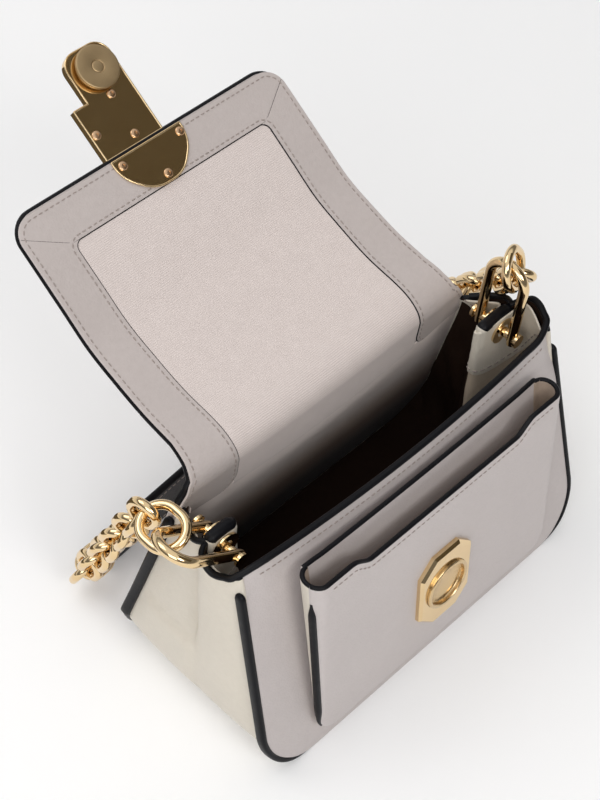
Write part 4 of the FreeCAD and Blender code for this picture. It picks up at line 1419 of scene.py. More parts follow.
@dataclass
class Pocket:
    """The front pocket: back wall, scooped front wall, folded sides, stitching and the clasp."""

    foot_half: float = 72.0
    top_half: float = 74.0
    slope: float = 95.0
    ear: float = 54.3
    scoop: float = 43.0
    depth: float = 5.5
    corner: float = 9.0
    clasp_rise: float = 38.0
    leather: float = 2.2
    back_slope: float = 95.5
    sewn_half: float = 66.0
    sewn_drop: float = 3.2
    sewn_out: float = 2.15

    def crest(self, x: Array) -> Array:
        """Top edge of the front wall along its slope: high ears, and a shallow scoop between them."""
        return self.slope - self.depth * (1.0 - smooth(np.abs(x), self.scoop, self.ear))

    def on_front(self, x: Values, v: Values, out: Values) -> Array:
        """Points on the front wall.

        Args:
            x: Places across.
            v: Lengths up the wall.
            out: Distances out from its inner face.

        Returns:
            The points.
        """
        lean = math.radians(S.pocket_lean)
        y = S.pocket_root_y + v * math.sin(lean) - out * math.cos(lean)
        z = S.pocket_root_z + v * math.cos(lean) + out * math.sin(lean)
        return xyz(x, y, z)

    def rows(self) -> Array:
        """Shares of the way up, close together round the lower corners."""
        low = self.corner * (1.0 - np.cos(quarter(9))) / self.slope
        return np.unique(np.concatenate([low, np.linspace(low[-1], 1.0, 30), [0.995]]))

    def wrap(self, rows: Array, share: Array, turn: Array) -> Array:
        """Middle surface of the front wall and of the ends that turn round to the back wall.

        Across the front x = c (half - a). Round an end x = half - a + a sin t, and the depth goes from the front plane
        to the back plane as (1 - cos t) / 2, with t from 0 to half a turn and a the bend's reach.

        Args:
            rows: Shares of the way up.
            share: Place c across the front of each column, from -1 to 1.
            turn: Angle t of each column.

        Returns:
            Grid of points.
        """
        half = outline_half(rows * self.slope, self.foot_half - 1.0, self.top_half - 1.0, self.slope, self.corner)
        reach = 1.6 + 3.4 * smooth(rows, 0.0, 1.0)
        x = share[None] * (half - reach)[:, None] + np.sign(share)[None] * reach[:, None] * np.sin(turn)[None]
        v = 1.0 + rows[:, None] * (self.crest(x) - 1.0)
        front = self.on_front(x, v, 1.0)
        rear = S.pocket_back_y + (front[..., 2] - S.pocket_back_z) * tan(S.pocket_back_lean) - 1.7
        front[..., 1] += (rear - front[..., 1]) * (0.5 - 0.5 * np.cos(turn))[None]
        return front

    def build_walls(self) -> None:
        """The front wall and the round ends with black upper edges, and the seams between them."""
        rows = self.rows()
        flat = mirrored(81, 0.002)
        joint = {Side.LEFT: math.radians(72.0), Side.RIGHT: math.radians(150.0)}
        lead = np.linspace(joint[Side.LEFT], 0.0, 8)[:-1]
        tail = np.linspace(0.0, joint[Side.RIGHT], 14)[1:]
        turn = np.concatenate([lead, np.zeros(len(flat)), tail])
        share = np.concatenate([-np.ones(len(lead)), flat, np.ones(len(tail))])
        front = self.wrap(rows, share, turn)
        # The wall's inner face is drawn dark brown as painted shade inside the pocket.
        wall = sheet("pocket_front_leather", front, self.leather, PANEL, POCKET_SHADE, (PANEL, POCKET_SHADE, EDGE, PANEL))
        settle(wall, Body.BAG, ("pocket_front", "pocket_front_rim"))
        for side in Side:
            bend = np.linspace(joint[side], math.pi, 16)
            bend = bend[::-1] if side is Side.LEFT else bend
            ends = self.wrap(rows, np.full(len(bend), float(side.value)), bend)
            # The ends' inner faces also take the painted shade of the pocket's inside.
            piece = sheet(f"pocket_{side.word}_end", ends, 2.0, GUSSET, POCKET_SHADE, (GUSSET, POCKET_SHADE, EDGE, POCKET_SHADE))
            settle(piece, Body.BAG, (f"pocket_{side.word}_side",))
            self.build_seam(side, joint[side])

    def build_seam(self, side: Side, turn: float) -> None:
        """The painted seam between the front wall and one end.

        Args:
            side: Which end.
            turn: Angle of the seam round the end.
        """
        count = 60
        path = self.wrap(np.linspace(0.05, 0.9, count), np.array([float(side.value)]), np.array([turn]))[:, 0]
        path = path + np.array([0.8 * side.value, -0.5, 0.0])
        share = np.linspace(0.0, 1.0, count)
        taper = np.minimum(0.4 + 0.6 * smooth(share, 0.0, 0.15), 1.0 - 0.65 * smooth(share, 0.9, 1.0))
        section = round_section(2.6, 3.4, 18, 2.6)
        bead = sweep(f"pocket_{side.word}_seam_edge", path, section, np.array([0.0, -1.0, 0.1]), EDGE, taper=taper)
        settle(bead, Body.BAG, (f"pocket_{side.word}_seam",))

    def build_back(self) -> None:
        """The back wall with its black upper edge, and the stitches under the front wall's crest."""
        rows = self.rows()
        lean = math.radians(S.pocket_back_lean)
        share = mirrored(61, 0.004)
        half = outline_half(rows * self.slope, self.foot_half - 3.0, self.top_half - 5.6, self.slope, self.corner)
        x = half[:, None] * share[None]
        ears = 0.5 * smooth(np.abs(x), 56.0, 68.0) * smooth(rows, 0.8, 1.0)[:, None]
        rise = 1.0 + rows[:, None] * self.back_slope + ears
        out = 1.0 + 0.8 * (1.0 - share[None] ** 2) * smooth(rows, 0.3, 1.0)[:, None]
        y = S.pocket_back_y + rise * math.sin(lean) - out * math.cos(lean)
        z = S.pocket_back_z + rise * math.cos(lean) + out * math.sin(lean)
        grid = xyz(x, y, z)
        rear = sheet("pocket_back_leather", grid, self.leather, PANEL, PANEL, (PANEL, PANEL, EDGE, PANEL))
        settle(rear, Body.BAG, ("pocket_back", "pocket_back_rim"))
        line_x = np.linspace(-self.sewn_half, self.sewn_half, 200)
        line = self.on_front(line_x, self.crest(line_x) - self.sewn_drop, self.sewn_out)
        forward = np.array([0.0, -0.993, 0.117])
        thread = stitches("pocket_stitches", [(line, forward)])
        settle(thread, Body.BAG)

    def build_clasp(self) -> None:
        """The turned cup of the clasp; its plate is the frame's own."""
        lean = math.radians(S.pocket_lean)
        spot = self.on_front(0.0, self.clasp_rise, 2.0)
        axis = np.array([0.0, -math.cos(lean), math.sin(lean)])
        profile = [
            (0.0, 2.0), (9.4, 2.0), (10.0, 2.3), (10.2, 2.8), (10.2, 4.0), (10.5, 4.35), (11.1, 4.5),
            (11.7, 4.3), (12.0, 3.9), (12.0, 0.0), (0.0, 0.0),
        ]
        cup = lathe("clasp_cup_turned", profile, spot, axis, CUP)
        settle(cup, Body.BAG, ("clasp_cup",))
        dress(("clasp_plate", "clasp_magnet", "clasp_washer"), GOLD)

    def build(self) -> None:
        """All pieces of the pocket."""
        self.build_walls()
        self.build_back()
        self.build_clasp()


@dataclass
class Flap:
    """Back panel, flap and front fall: one bent sheet in two pieces, with what is sewn to its inner side.

    The first piece bends at the top of the back panel, the second where the fall begins. Both follow one profile in
    the YZ plane; half the width is a function of the length along it.
    """

    total: float = 3.6
    cut: float = 36.0
    border: float = 19.0
    soft: float = 4.0
    corner: float = 10.0
    end_round: float = 9.0
    inner_seam: float = 1.7
    outer_seam: float = 2.7
    mouth_bow: float = 3.4
    flap_sag: float = 1.0
    fall_start: float = 69.0
    fall_bend: float = 9.0
    profile: Array = field(init=False)
    length: Array = field(init=False)
    lower: list[Piece] = field(default_factory=list)
    upper: list[Piece] = field(default_factory=list)

    def __post_init__(self) -> None:
        """Draws the profile of the sheet's inner face from the foot of the back panel to the free edge."""
        back = [(back_plane(z), z) for z in (1.4, 30.0, 60.0, 88.0)]
        bend = [(26.2, 104.5), (26.0, 109.0), (28.2, 113.2), (33.5, 117.0), (41.0, 119.3), (57.0, 122.2)]
        fall = [(73.0, 127.0), (88.95, 133.2), (104.0, 143.0), (120.0, 153.5), (137.0, 164.5)]
        self.profile = through(back + bend + fall, 400)
        self.length = lengths_along(self.profile)
        self.hinge = float(np.interp(111.0, self.profile[:, 1], self.length))
        self.end = float(self.length[-1])
        self.inside = self.hinge - 20.0
        self.seam = self.hinge + self.cut
        self.limit = self.end - self.border
        self.mitre_end = self.limit + 0.62 * self.border

    def at(self, s: Values) -> tuple[Array, Array]:
        """Y and Z of the profile at a length along it."""
        return np.interp(s, self.length, self.profile[:, 0]), np.interp(s, self.length, self.profile[:, 1])

    def half(self, s: Values) -> Array:
        """Half width of the sheet: the back panel, a narrowing neck, then the flap.

        Args:
            s: Lengths along the profile.

        Returns:
            Half widths.
        """
        z = self.at(s)[1]
        panel = back_half(z) - corner_cut(z, S.corner)
        flap = np.interp(s - self.hinge, [0.0, 8.0, 18.0, 60.0, 130.0], [78.0, 75.6, 74.0, 73.4, 72.8])
        return np.where(s < self.hinge, panel, flap)

    def lower_inner(self, s: Array) -> Array:
        """Inner border of the flap's side facings: straight, turning outwards at their lower ends."""
        return S.field_half - 0.2 + corner_cut(s - self.inside, self.end_round)

    def free_half(self, s: Array, inset: float) -> Array:
        """Half width of the fall at a distance in from its edge, with its rounded free corners."""
        return self.half(s) - inset - corner_cut(self.end - inset - s, self.corner - inset)

    def mitred(self, s: Array) -> Array:
        """How far the mitre has run out from the corner of the lining field at a length along the sheet."""
        share = np.clip((s - self.limit) / (self.mitre_end - self.limit), 0.0, 1.0)
        return (self.half(s) - 1.0 - S.field_half) * share

    def surface(self, x: Values, s: Values, rise: float) -> Array:
        """Points of the sheet.

        Args:
            x: Places across.
            s: Lengths along the profile.
            rise: Height above the inner face.

        Returns:
            Points; the middle of the sheet bows inwards a little at the mouth and sags on the flap.
        """
        step = 0.6
        y, z = self.at(s)
        (y_after, z_after), (y_before, z_before) = self.at(s + step), self.at(s - step)
        ty, tz = y_after - y_before, z_after - z_before
        norm = np.maximum(np.hypot(ty, tz), 1e-9)
        ny, nz = -tz / norm, ty / norm
        middle = 1.0 - np.clip(np.abs(x) / 76.0, 0.0, 1.0) ** 2
        bow = self.mouth_bow * middle * np.exp(-(((s - self.hinge + 22.0) / 20.0) ** 2))
        sag = -self.flap_sag * middle * np.exp(-(((s - self.hinge - 34.0) / 16.0) ** 2))
        out = rise + bow + sag
        return xyz(x, y + ny * out, z + nz * out)

    def rows(self, start: float, stop: float, count: int) -> Array:
        """Lengths along the sheet from start to stop with a tight last line at both ends."""
        return start + (stop - start) * tight(count, 0.3 / (stop - start))

    def leather(self, name: str, lengths: Array, nodes: Sequence[str], corner: float = 0.0) -> Piece:
        """One piece of the sheet itself, black at its edges.

        Args:
            name: Name of the piece.
            lengths: Lengths along the profile.
            nodes: Nodes that it replaces.
            corner: Radius of its free corners.

        Returns:
            The object.
        """
        inset = self.total / 2
        half = self.half(lengths) - inset - corner_cut(lengths[-1] - lengths, corner)
        x = half[:, None] * mirrored(61, 0.004)[None]
        grid = self.surface(x, lengths[:, None], -inset - 0.2)
        low = int(np.searchsorted(lengths, self.hinge - 14.0))
        piece = sheet(name, grid, self.total - 0.4, PANEL, PANEL, (EDGE,), plain_rows=low)
        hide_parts(*nodes)
        return piece

    def patch(
        self,
        name: str,
        left: Array,
        right: Array,
        lengths: Array,
        rise: float,
        thick: float,
        finish: Finish,
        slot: str,
        nodes: Sequence[str] = (),
        painted: Sequence[int] = (),
    ) -> Piece:
        """A thin piece on the inner side between two lines across the sheet.

        Args:
            name: Name of the piece.
            left: Its left border at each length.
            right: Its right border at each length.
            lengths: Lengths along the sheet.
            rise: Height of its middle above the inner face.
            thick: Thickness.
            finish: Material.
            slot: Not used.
            nodes: Nodes that it replaces.
            painted: Numbers of its painted edges: 0 first row, 1 right, 2 last row, 3 left.

        Returns:
            The object.
        """
        share = tight(17, 0.015)
        x = left[:, None] + (right - left)[:, None] * share[None]
        edge = [EDGE if number in painted else finish for number in range(4)]
        piece = sheet(name, self.surface(x, lengths[:, None], rise), thick, finish, finish, edge)
        if nodes:
            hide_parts(*nodes)
        return piece

    def thread(self, name: str, rows: Sequence[tuple[Array, Array]]) -> Piece:
        """Stitches on the inner side.

        Args:
            name: Name of the piece.
            rows: Places across and lengths along of each row.

        Returns:
            The object.
        """
        lines = []
        for x, s in rows:
            line, over = (self.surface(x, s, rise) for rise in (0.75, 1.75))
            lines.append((line, over - line))
        piece = stitches(name, lines)
        return piece

    def lining(self, name: str, rows: Array, node: str) -> Piece:
        """One piece of the lining field.

        Args:
            name: Name of the piece.
            rows: Lengths along the sheet.
            node: Node that it replaces.

        Returns:
            The object.
        """
        half = np.full_like(rows, S.field_half)
        return self.patch(name, -half, half, rows, 0.15, 0.5, FIELD, "woven_lining", (node,))

    def facing(self, part: str, side: Side, inner: Array, outer: Array, rows: Array) -> Piece:
        """A side border with a painted inner edge.

        Args:
            part: Part of the flap that it lies on, as its node spells it.
            side: Which side.
            inner: Distance of its inner edge from the middle at each length.
            outer: Distance of its outer edge.
            rows: Lengths along the sheet.

        Returns:
            The object.
        """
        pair, painted = ((-outer, -inner), 1) if side is Side.LEFT else ((inner, outer), 3)
        name, nodes = f"{part}_{side.word}_border", (f"{part}_{side.word}_facing",)
        return self.patch(name, *pair, rows, 0.25, 1.0, FACING, "facing_leather", nodes, (painted,))

    def build_leather(self) -> None:
        """The sheet in its two pieces."""
        knee = 60.0
        foot = panel_heights(1.6, knee, S.corner - 1.6, 12)
        first = np.unique(np.concatenate([foot, self.rows(knee, self.seam, 60)]))
        late = self.end - self.corner * (1.0 - np.sin(quarter(10)))
        second = np.unique(np.concatenate([self.rows(self.seam, self.end, 60), late]))
        nodes = ("back_panel", "back_lining", "hinge_fold", "flap_leather")
        self.lower.append(self.leather("back_and_flap_leather", first, nodes))
        self.upper.append(self.leather("fall_front_leather", second, ("fall_leather",), self.corner))

    def build_lower(self) -> None:
        """What is sewn to the first piece: the lining field, the cloth on the back wall and the side facings."""
        rows = self.rows(self.inside, self.seam, 44)
        self.lower.append(self.lining("flap_field", rows, "flap_lining"))
        deep = self.rows(2.6, self.inside + 2.0, 50)
        wide = self.half(deep) - 2.2
        # The cloth on the back wall: beige lining with painted shade that darkens it towards the bottom.
        self.lower.append(self.patch("back_lining_cloth", -wide, wide, deep, 0.1, 0.5, SHADED_FIELD, "inner_lining"))
        turned = self.inside + self.end_round * (1.0 - np.cos(quarter(8)))
        rows = np.unique(np.concatenate([rows, turned]))
        for side in Side:
            self.lower.append(self.facing("flap", side, self.lower_inner(rows), self.half(rows) - 1.0, rows))

    def build_upper(self) -> None:
        """What is sewn to the second piece: the lining field, and side and end facings that meet in mitres."""
        self.upper.append(self.lining("fall_field", self.rows(self.seam, self.limit + 1.0, 34), "fall_lining"))
        bend = self.limit - self.soft + self.soft * np.sin(quarter(7))
        run = np.linspace(self.limit, self.mitre_end - 0.4, 14)
        rows = np.unique(np.concatenate([self.rows(self.seam, self.limit, 30), bend, run]))
        fillet = np.where(rows <= self.limit, corner_cut(self.limit - rows, self.soft), 0.0)
        inner = S.field_half - 0.2 - fillet + 0.45 * (rows > self.limit) + self.mitred(rows)
        for side in Side:
            self.upper.append(self.facing("fall", side, inner, self.free_half(rows, 1.0), rows))
        run = np.linspace(self.limit, self.mitre_end, 14)
        rest = np.linspace(self.mitre_end, self.end - self.corner, 3)
        late = self.end - self.corner + (self.corner - 1.0) * np.sin(quarter(12))
        rows = np.unique(np.concatenate([run, rest, late]))
        wide = np.minimum(S.field_half - 0.5 + self.mitred(rows), self.free_half(rows, 1.0))
        nodes = ("fall_end_facing",)
        self.upper.append(
            self.patch("fall_end_border", -wide, wide, rows, 0.28, 1.0, FACING, "facing_leather", nodes, (0,))
        )

    def build_stitches(self) -> None:
        """Two rows on each side of the flap, and two that go round the fall."""
        near, far, arc = self.inner_seam, self.outer_seam, quarter(16)
        straight, middle = 60, 40
        rows = np.linspace(self.inside + 0.8, self.seam, 120)
        lines = []
        for side in Side:
            lines.append(((self.lower_inner(rows) + near) * side.value, rows))
            lines.append(((self.half(rows) - far) * side.value, rows))
        self.lower.append(self.thread("flap_stitches", lines))

        start, bow = self.limit - self.soft, self.soft + near
        close = S.field_half + near
        ahead = np.linspace(close - bow, 0.0, middle)
        inner_x = np.concatenate([np.full(straight, close), close - bow + bow * np.cos(arc), ahead])
        rows = np.linspace(self.seam, start, straight)
        inner_s = np.concatenate([rows, start + bow * np.sin(arc), np.full(middle, self.limit + near)])

        start, tip = self.end - self.corner, self.corner - far
        edge = float(self.half(start)) - self.corner
        rows = np.linspace(self.seam, start, straight)
        ahead = np.linspace(edge, 0.0, middle)
        outer_x = np.concatenate([self.half(rows) - far, edge + tip * np.cos(arc), ahead])
        outer_s = np.concatenate([rows, start + tip * np.sin(arc), np.full(middle, self.end - far)])
        lines = [
            (np.concatenate([-x, x[-2::-1]]), np.concatenate([s, s[-2::-1]]))
            for x, s in ((inner_x, inner_s), (outer_x, outer_s))
        ]
        self.upper.append(self.thread("fall_stitches", lines))

    def build(self) -> None:
        """Both pieces of the flap with all that is sewn to them."""
        self.build_leather()
        self.build_lower()
        self.build_upper()
        self.build_stitches()
        for piece in self.lower:
            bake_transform(piece)
        fold = self.hinge + self.fall_start
        knee = [self.surface(0.0, fold + d, 0.0) * MM for d in (-self.fall_bend, self.fall_bend)]
        for piece in self.upper:
            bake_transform(piece)


def rounded(corners: Sequence[Triple], steps: int = 9) -> Array:
    """A closed outline with rounded corners: each arc is C + (A sin((1 - t) w) + B sin(t w)) / sin w.

    A and B go from the arc's centre C to where it touches both sides, and w is the turn between them.

    Args:
        corners: X, Y and radius of each corner.
        steps: Points on an arc.

    Returns:
        Points of the outline.
    """
    table = np.asarray(corners, float)
    spots, radius = table[:, :2], table[:, 2]
    before = unit(np.roll(spots, 1, axis=0) - spots)
    after = unit(np.roll(spots, -1, axis=0) - spots)
    half = np.arccos(np.clip((before * after).sum(axis=1), -1.0, 1.0)) / 2
    centre = spots + unit(before + after) * (radius / np.sin(half))[:, None]
    reach = (radius / np.tan(half))[:, None]
    first, last = spots + before * reach - centre, spots + after * reach - centre
    turn = (math.pi - 2.0 * half)[:, None, None]
    t = np.linspace(0.0, 1.0, steps)[None, :, None]
    arc = (first[:, None] * np.sin((1.0 - t) * turn) + last[:, None] * np.sin(t * turn)) / np.sin(turn)
    return (centre[:, None] + arc).reshape(-1, 2)


@dataclass
class Tab:
    """The metal closing tab on the fall's free edge, with its screws and the snap disc."""

    disc_reach: float = 34.7
    low_face: float = -1.4
    high_face: float = 1.4
    plate_screws: tuple[tuple[float, float], ...] = ((-0.3, 23.0), (-16.8, 11.6), (-1.5, 4.4))
    clamp_screws: tuple[tuple[float, float], ...] = ((15.0, -4.5), (-16.2, -4.5), (-0.5, -16.4))
    plate: tuple[Triple, ...] = (
        (-19.3, 0.5, 0.3), (10.6, 0.5, 0.3), (10.6, 44.8, 6.8),
        (-11.8, 44.8, 6.8), (-11.8, 24.1, 0.3), (-19.3, 24.1, 0.3),
    )
    clamp: tuple[Triple, ...] = (
        (-19.8, -1.2, 0.3), (17.2, -1.2, 0.3), (17.2, -8.8, 14.8),
        (6.35, -19.5, 14.8), (-8.95, -19.5, 14.8), (-19.8, -8.8, 14.8),
    )

    def spot(self, across: Values, out: Values, rise: float) -> Array:
        """Points of the tab, measured from the middle of the free edge.

        Args:
            across: Places across.
            out: Distances past the free edge.
            rise: Height above the fall's inner face.

        Returns:
            The points.
        """
        lean = math.radians(S.fall_rise)
        reach = S.fall_reach + out
        y = S.fold_line_y + reach * math.cos(lean) - rise * math.sin(lean)
        z = S.fold_line_z + reach * math.sin(lean) + rise * math.cos(lean)
        return xyz(across, y, z)

    def build(self) -> None:
        """Dimpled screw heads, the disc with its dimple, bright rims, and finishes for the plates."""
        lean = math.radians(S.fall_rise)
        axis = np.array([0.0, -math.sin(lean), math.cos(lean)])
        dome = [(0.0, 0.0), (1.95, 0.0), (1.95, 0.3), (1.8, 0.48), (1.4, 0.6), (0.75, 0.66), (0.7, 0.3), (0.0, 0.3)]
        places = [(*spot, self.low_face) for spot in self.plate_screws]
        places += [(*spot, self.high_face) for spot in self.clamp_screws]
        for number, place in enumerate(places):
            head = lathe(f"tab_screw_{number}", dome, self.spot(*place), axis, SCREW)
            nodes = ("tab_screws", "clamp_screws") if number == 0 else ()
            settle(head, Body.FRONT, nodes)
        rim = [
            (0.0, 0.0), (8.2, 0.0), (8.2, 1.5), (9.2, 1.6), (9.45, 1.8), (9.5, 2.1), (9.5, 3.0), (9.4, 3.22),
            (9.15, 3.36), (8.8, 3.4), (3.3, 3.36), (2.95, 3.3), (2.75, 3.05), (2.5, 2.98), (2.3, 3.15),
            (1.9, 3.22), (0.0, 3.24),
        ]
        disc = lathe("snap_disc_turned", rim, self.spot(0.0, self.disc_reach, self.low_face), axis, DISC)
        settle(disc, Body.FRONT, ("snap_disc", "snap_magnet"))
        for name, outline, top in (
            ("tab_plate_rim", self.plate, self.low_face),
            ("clamp_plate_rim", self.clamp, self.high_face),
        ):
            loop = rounded(outline)
            path = self.spot(loop[:, 0], loop[:, 1], top - 0.2)
            bead = sweep(name, path, round_section(0.9, 0.9, 10), axis, GOLD, closed=True)
            settle(bead, Body.FRONT)
        dress(("tab_front_plate", "tab_back_plate", "clamp_plate"), GOLD)


def oval_path(length: float, width: float, wire: float, bend: int = 22, straight: int = 4) -> Array:
    """Centre line of an oval link in its own XY plane: two half circles joined by straights along Y.

    Args:
        length: Outer length.
        width: Outer width.
        wire: Wire thickness.
        bend: Points on a half circle.
        straight: Points on a straight.

    Returns:
        Points of the closed line.
    """
    radius = (width - wire) / 2
    reach = (length - width) / 2
    turn = np.linspace(0.0, math.pi, bend)
    top = xyz(radius * np.cos(turn), reach + radius * np.sin(turn), 0.0)
    left = np.linspace(top[-1], top[-1] * [1, -1, 1], straight + 2)[1:-1]
    right = np.linspace(top[0] * [1, -1, 1], top[0], straight + 2)[1:-1]
    return np.vstack([top, left, -top, right])


@dataclass
class Chain:
    """Shackles, rings, chain links and the leather strap that lies behind the bag."""

    wire: float = 4.0
    link: tuple[float, float] = (19.15, 15.2)
    ring: tuple[float, float] = (23.4, 20.0)
    bar: float = 4.6
    spacing: float = 18.0
    height: float = 37.0
    tail: float = 4.0
    left_swing: float = 52.0
    strap_thick: float = 3.6
    strap_half: float = 10.2
    band_thick: float = 3.4
    sewn_level: float = 8.6
    sewn_out: float = 1.75
    end_room: float = 13.0
    end_thick: float = 2.3
    hole: float = 4.7

    def place_on(self, node: str, size: tuple[float, float]) -> None:
        """Lays round links in the places of a node's own.

        Args:
            node: Name of the node, which the piece replaces.
            size: Outer length and width.
        """
        section = round_section(self.wire, self.wire, 18)
        points, faces = sweep_points(oval_path(*size, self.wire), section, UP, True)
        clouds, quads = [], []
        for number, (centre, long, normal) in enumerate(self.links_of(node)):
            across = np.cross(long, normal)
            clouds.append(centre + points @ np.stack([across, long, normal]))
            quads.append(faces[0] + number * len(points))
        piece = make(node + "_round", np.vstack(clouds), [np.vstack(quads)], [GOLD])
        settle(piece, Body.STRAP, (node,))

    @staticmethod
    def links_of(node: str) -> list[tuple[Array, Array, Array]]:
        """Centre and directions of each link of a node, measured on its own solid.

        The long direction is the largest axis of the solid's spread and the flat normal the smallest.

        Args:
            node: Name of the node.

        Returns:
            Centre in millimetres, long direction and flat normal of each separate solid.
        """
        mesh = frame["nodes"][node].data
        points = np.empty(len(mesh.vertices) * 3)
        mesh.vertices.foreach_get("co", points)
        points = points.reshape(-1, 3) / MM
        corners = np.empty(len(mesh.loops), np.int32)
        mesh.loops.foreach_get("vertex_index", corners)
        faces = corners.reshape(-1, 3)
        key = np.unique(np.round(points, 3), axis=0, return_inverse=True)[1].ravel()
        label = np.arange(key.max() + 1)
        faces = key[faces]
        for _ in range(60):
            low = label[faces].min(axis=1)
            fresh = label.copy()
            np.minimum.at(fresh, faces.ravel(), np.repeat(low, 3))
            fresh = fresh[fresh]
            if np.array_equal(fresh, label):
                break
            label = fresh
        found = []
        spots = np.zeros((key.max() + 1, 3))
        spots[key] = points
        for name in np.unique(label):
            cloud = spots[label == name]
            centre = cloud.mean(axis=0)
            spread = np.linalg.svd(cloud - centre, full_matrices=False)[2]
            found.append((centre, spread[0], spread[2]))
        return found

    def build_links(self) -> None:
        """Round-wired links and rings in the places of the frame's own."""
        for side in Side:
            for part, size in (("chain", self.link), ("end_link", self.link), ("ring", self.ring)):
                self.place_on(f"{side.word}_{part}", size)

    def build_shackles(self) -> None:
        """Bent round bars with flattened lower ends, and pins with domed heads."""
        half = self.spacing / 2
        straight = self.height - half
        turn = np.linspace(0.0, math.pi, 33)[1:-1]
        low = np.linspace(-self.tail, straight, 14)
        front = xyz(0.0, -half, low)
        bow = xyz(0.0, -half * np.cos(turn), straight + half * np.sin(turn))
        back = front[::-1] * [1, -1, 1]
        path = np.vstack([front, bow, back])
        section = round_section(self.bar, self.bar, 24)
        taper = np.ones(len(path))
        taper[[0, -1]] = 0.86
        dome = [(0.0, 0.9), (0.9, 0.86), (1.7, 0.72), (2.2, 0.45), (2.4, 0.15), (2.4, 0.0), (0.0, 0.0)]
        for side, swing in ((Side.LEFT, self.left_swing), (Side.RIGHT, 0.0)):
            angle = math.radians(swing) * side.value
            turned = xyz(
                path[:, 0] * math.cos(angle) + path[:, 2] * math.sin(angle),
                path[:, 1],
                path[:, 2] * math.cos(angle) - path[:, 0] * math.sin(angle),
            )
            pin = np.array([S.pin_x * side.value, S.fold_y, S.pin_z])
            body = Body.LEFT_SHACKLE if side is Side.LEFT else Body.RIGHT_SHACKLE
            normal = np.array([math.cos(angle), 0.0, -math.sin(angle)])
            bar = sweep(f"{side.word}_shackle_bar", turned + pin, section, normal, GOLD, taper=taper)
            settle(bar, body, (f"{side.word}_shackle",))
            for word, end in (("front", -1.0), ("back", 1.0)):
                spot = pin + np.array([0.0, end * (half + self.bar / 2 - 0.35), 0.0])
                head = lathe(f"{side.word}_pin_head_{word}", dome[::-1], spot, (0.0, end, 0.0), GOLD)
                settle(head, body)
            dress((f"{side.word}_pin",), GOLD)

    def build_strap(self) -> None:
        """The leather band behind the bag, black at its edges, stitched along both sides, with sewn ends."""
        low, high = (np.array(corner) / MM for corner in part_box("strap_leather"))
        heading = math.atan2(high[1] - low[1] - self.strap_thick, high[0] - low[0])
        direction = np.array([math.cos(heading), math.sin(heading), 0.0])
        out = np.array([math.sin(heading), -math.cos(heading), 0.0])
        centre = (low + high) / 2
        half = (high[0] - low[0]) / 2 / math.cos(heading)
        share, rise = mirrored(61, 0.004), mirrored(9, 0.03)
        u = share[None] * (half - self.end_room)
        v = rise[:, None] * self.strap_half
        grid = centre + direction * u[..., None] + UP * v[..., None]
        band = sheet("strap_band", grid, self.band_thick, STRAP_HIDE, STRAP_HIDE, (EDGE,))
        settle(band, Body.STRAP, ("strap_leather",))
        lines = []
        for level in (-self.sewn_level, self.sewn_level):
            for face in (-1.0, 1.0):
                run = np.linspace(-1.0, 1.0, 60) * (half - self.end_room - 1.0)
                line = centre + direction * run[:, None] + UP * level - out * (face * self.sewn_out)
                lines.append((line, -out * face))
        settle(stitches("strap_stitches", lines), Body.STRAP)
        angle = circle(72)
        c, s = np.cos(angle), np.sin(angle)
        reach = half - 9.1
        nose, root, end_half, nose_round, root_round = 5.2, 14.0, 10.4, 9.0, 16.0
        box = 1.0 / np.maximum(np.abs(c) / np.where(c > 0, nose, root), np.abs(s) / end_half)
        outer = np.minimum(box, np.where(c > 0, nose_round, root_round))
        radius = self.hole + (outer - self.hole)[None] * np.linspace(0.0, 1.0, 6)[:, None]
        for side in Side:
            u = (radius * c[None] + reach) * side.value
            self.end_piece(f"strap_{side.word}_end", centre, direction, out, u, radius * s[None])

    def end_piece(self, name: str, centre: Array, direction: Array, out: Array, u: Array, v: Array) -> None:
        """A sewn leather end with a hole: rings of points between the hole and the outline, on both faces.

        Args:
            name: Name of the piece.
            centre: Middle of the strap.
            direction: Along the strap.
            out: Square to its face.
            u: Places along, rings by angle.
            v: Places upwards, rings by angle.
        """
        flat = centre + direction * u[..., None] + UP * v[..., None]
        bulge = out * self.end_thick * np.array([0.7, 1.0, 1.0, 1.0, 1.0, 0.7])[:, None, None]
        faces = np.concatenate([flat + bulge, (flat - bulge)[::-1]])
        rings, sides = faces.shape[:2]
        quads = tube_quads(rings, sides, True)
        if np.cross(flat[1, 0] - flat[0, 0], flat[0, 1] - flat[0, 0]) @ out > 0:
            quads = quads[:, ::-1]
        piece = make(name, faces.reshape(-1, 3), [quads], [EDGE])
        settle(piece, Body.STRAP)

    def build(self) -> None:
        """All metal and leather of the strap."""
        self.build_links()
        self.build_shackles()
        self.build_strap()


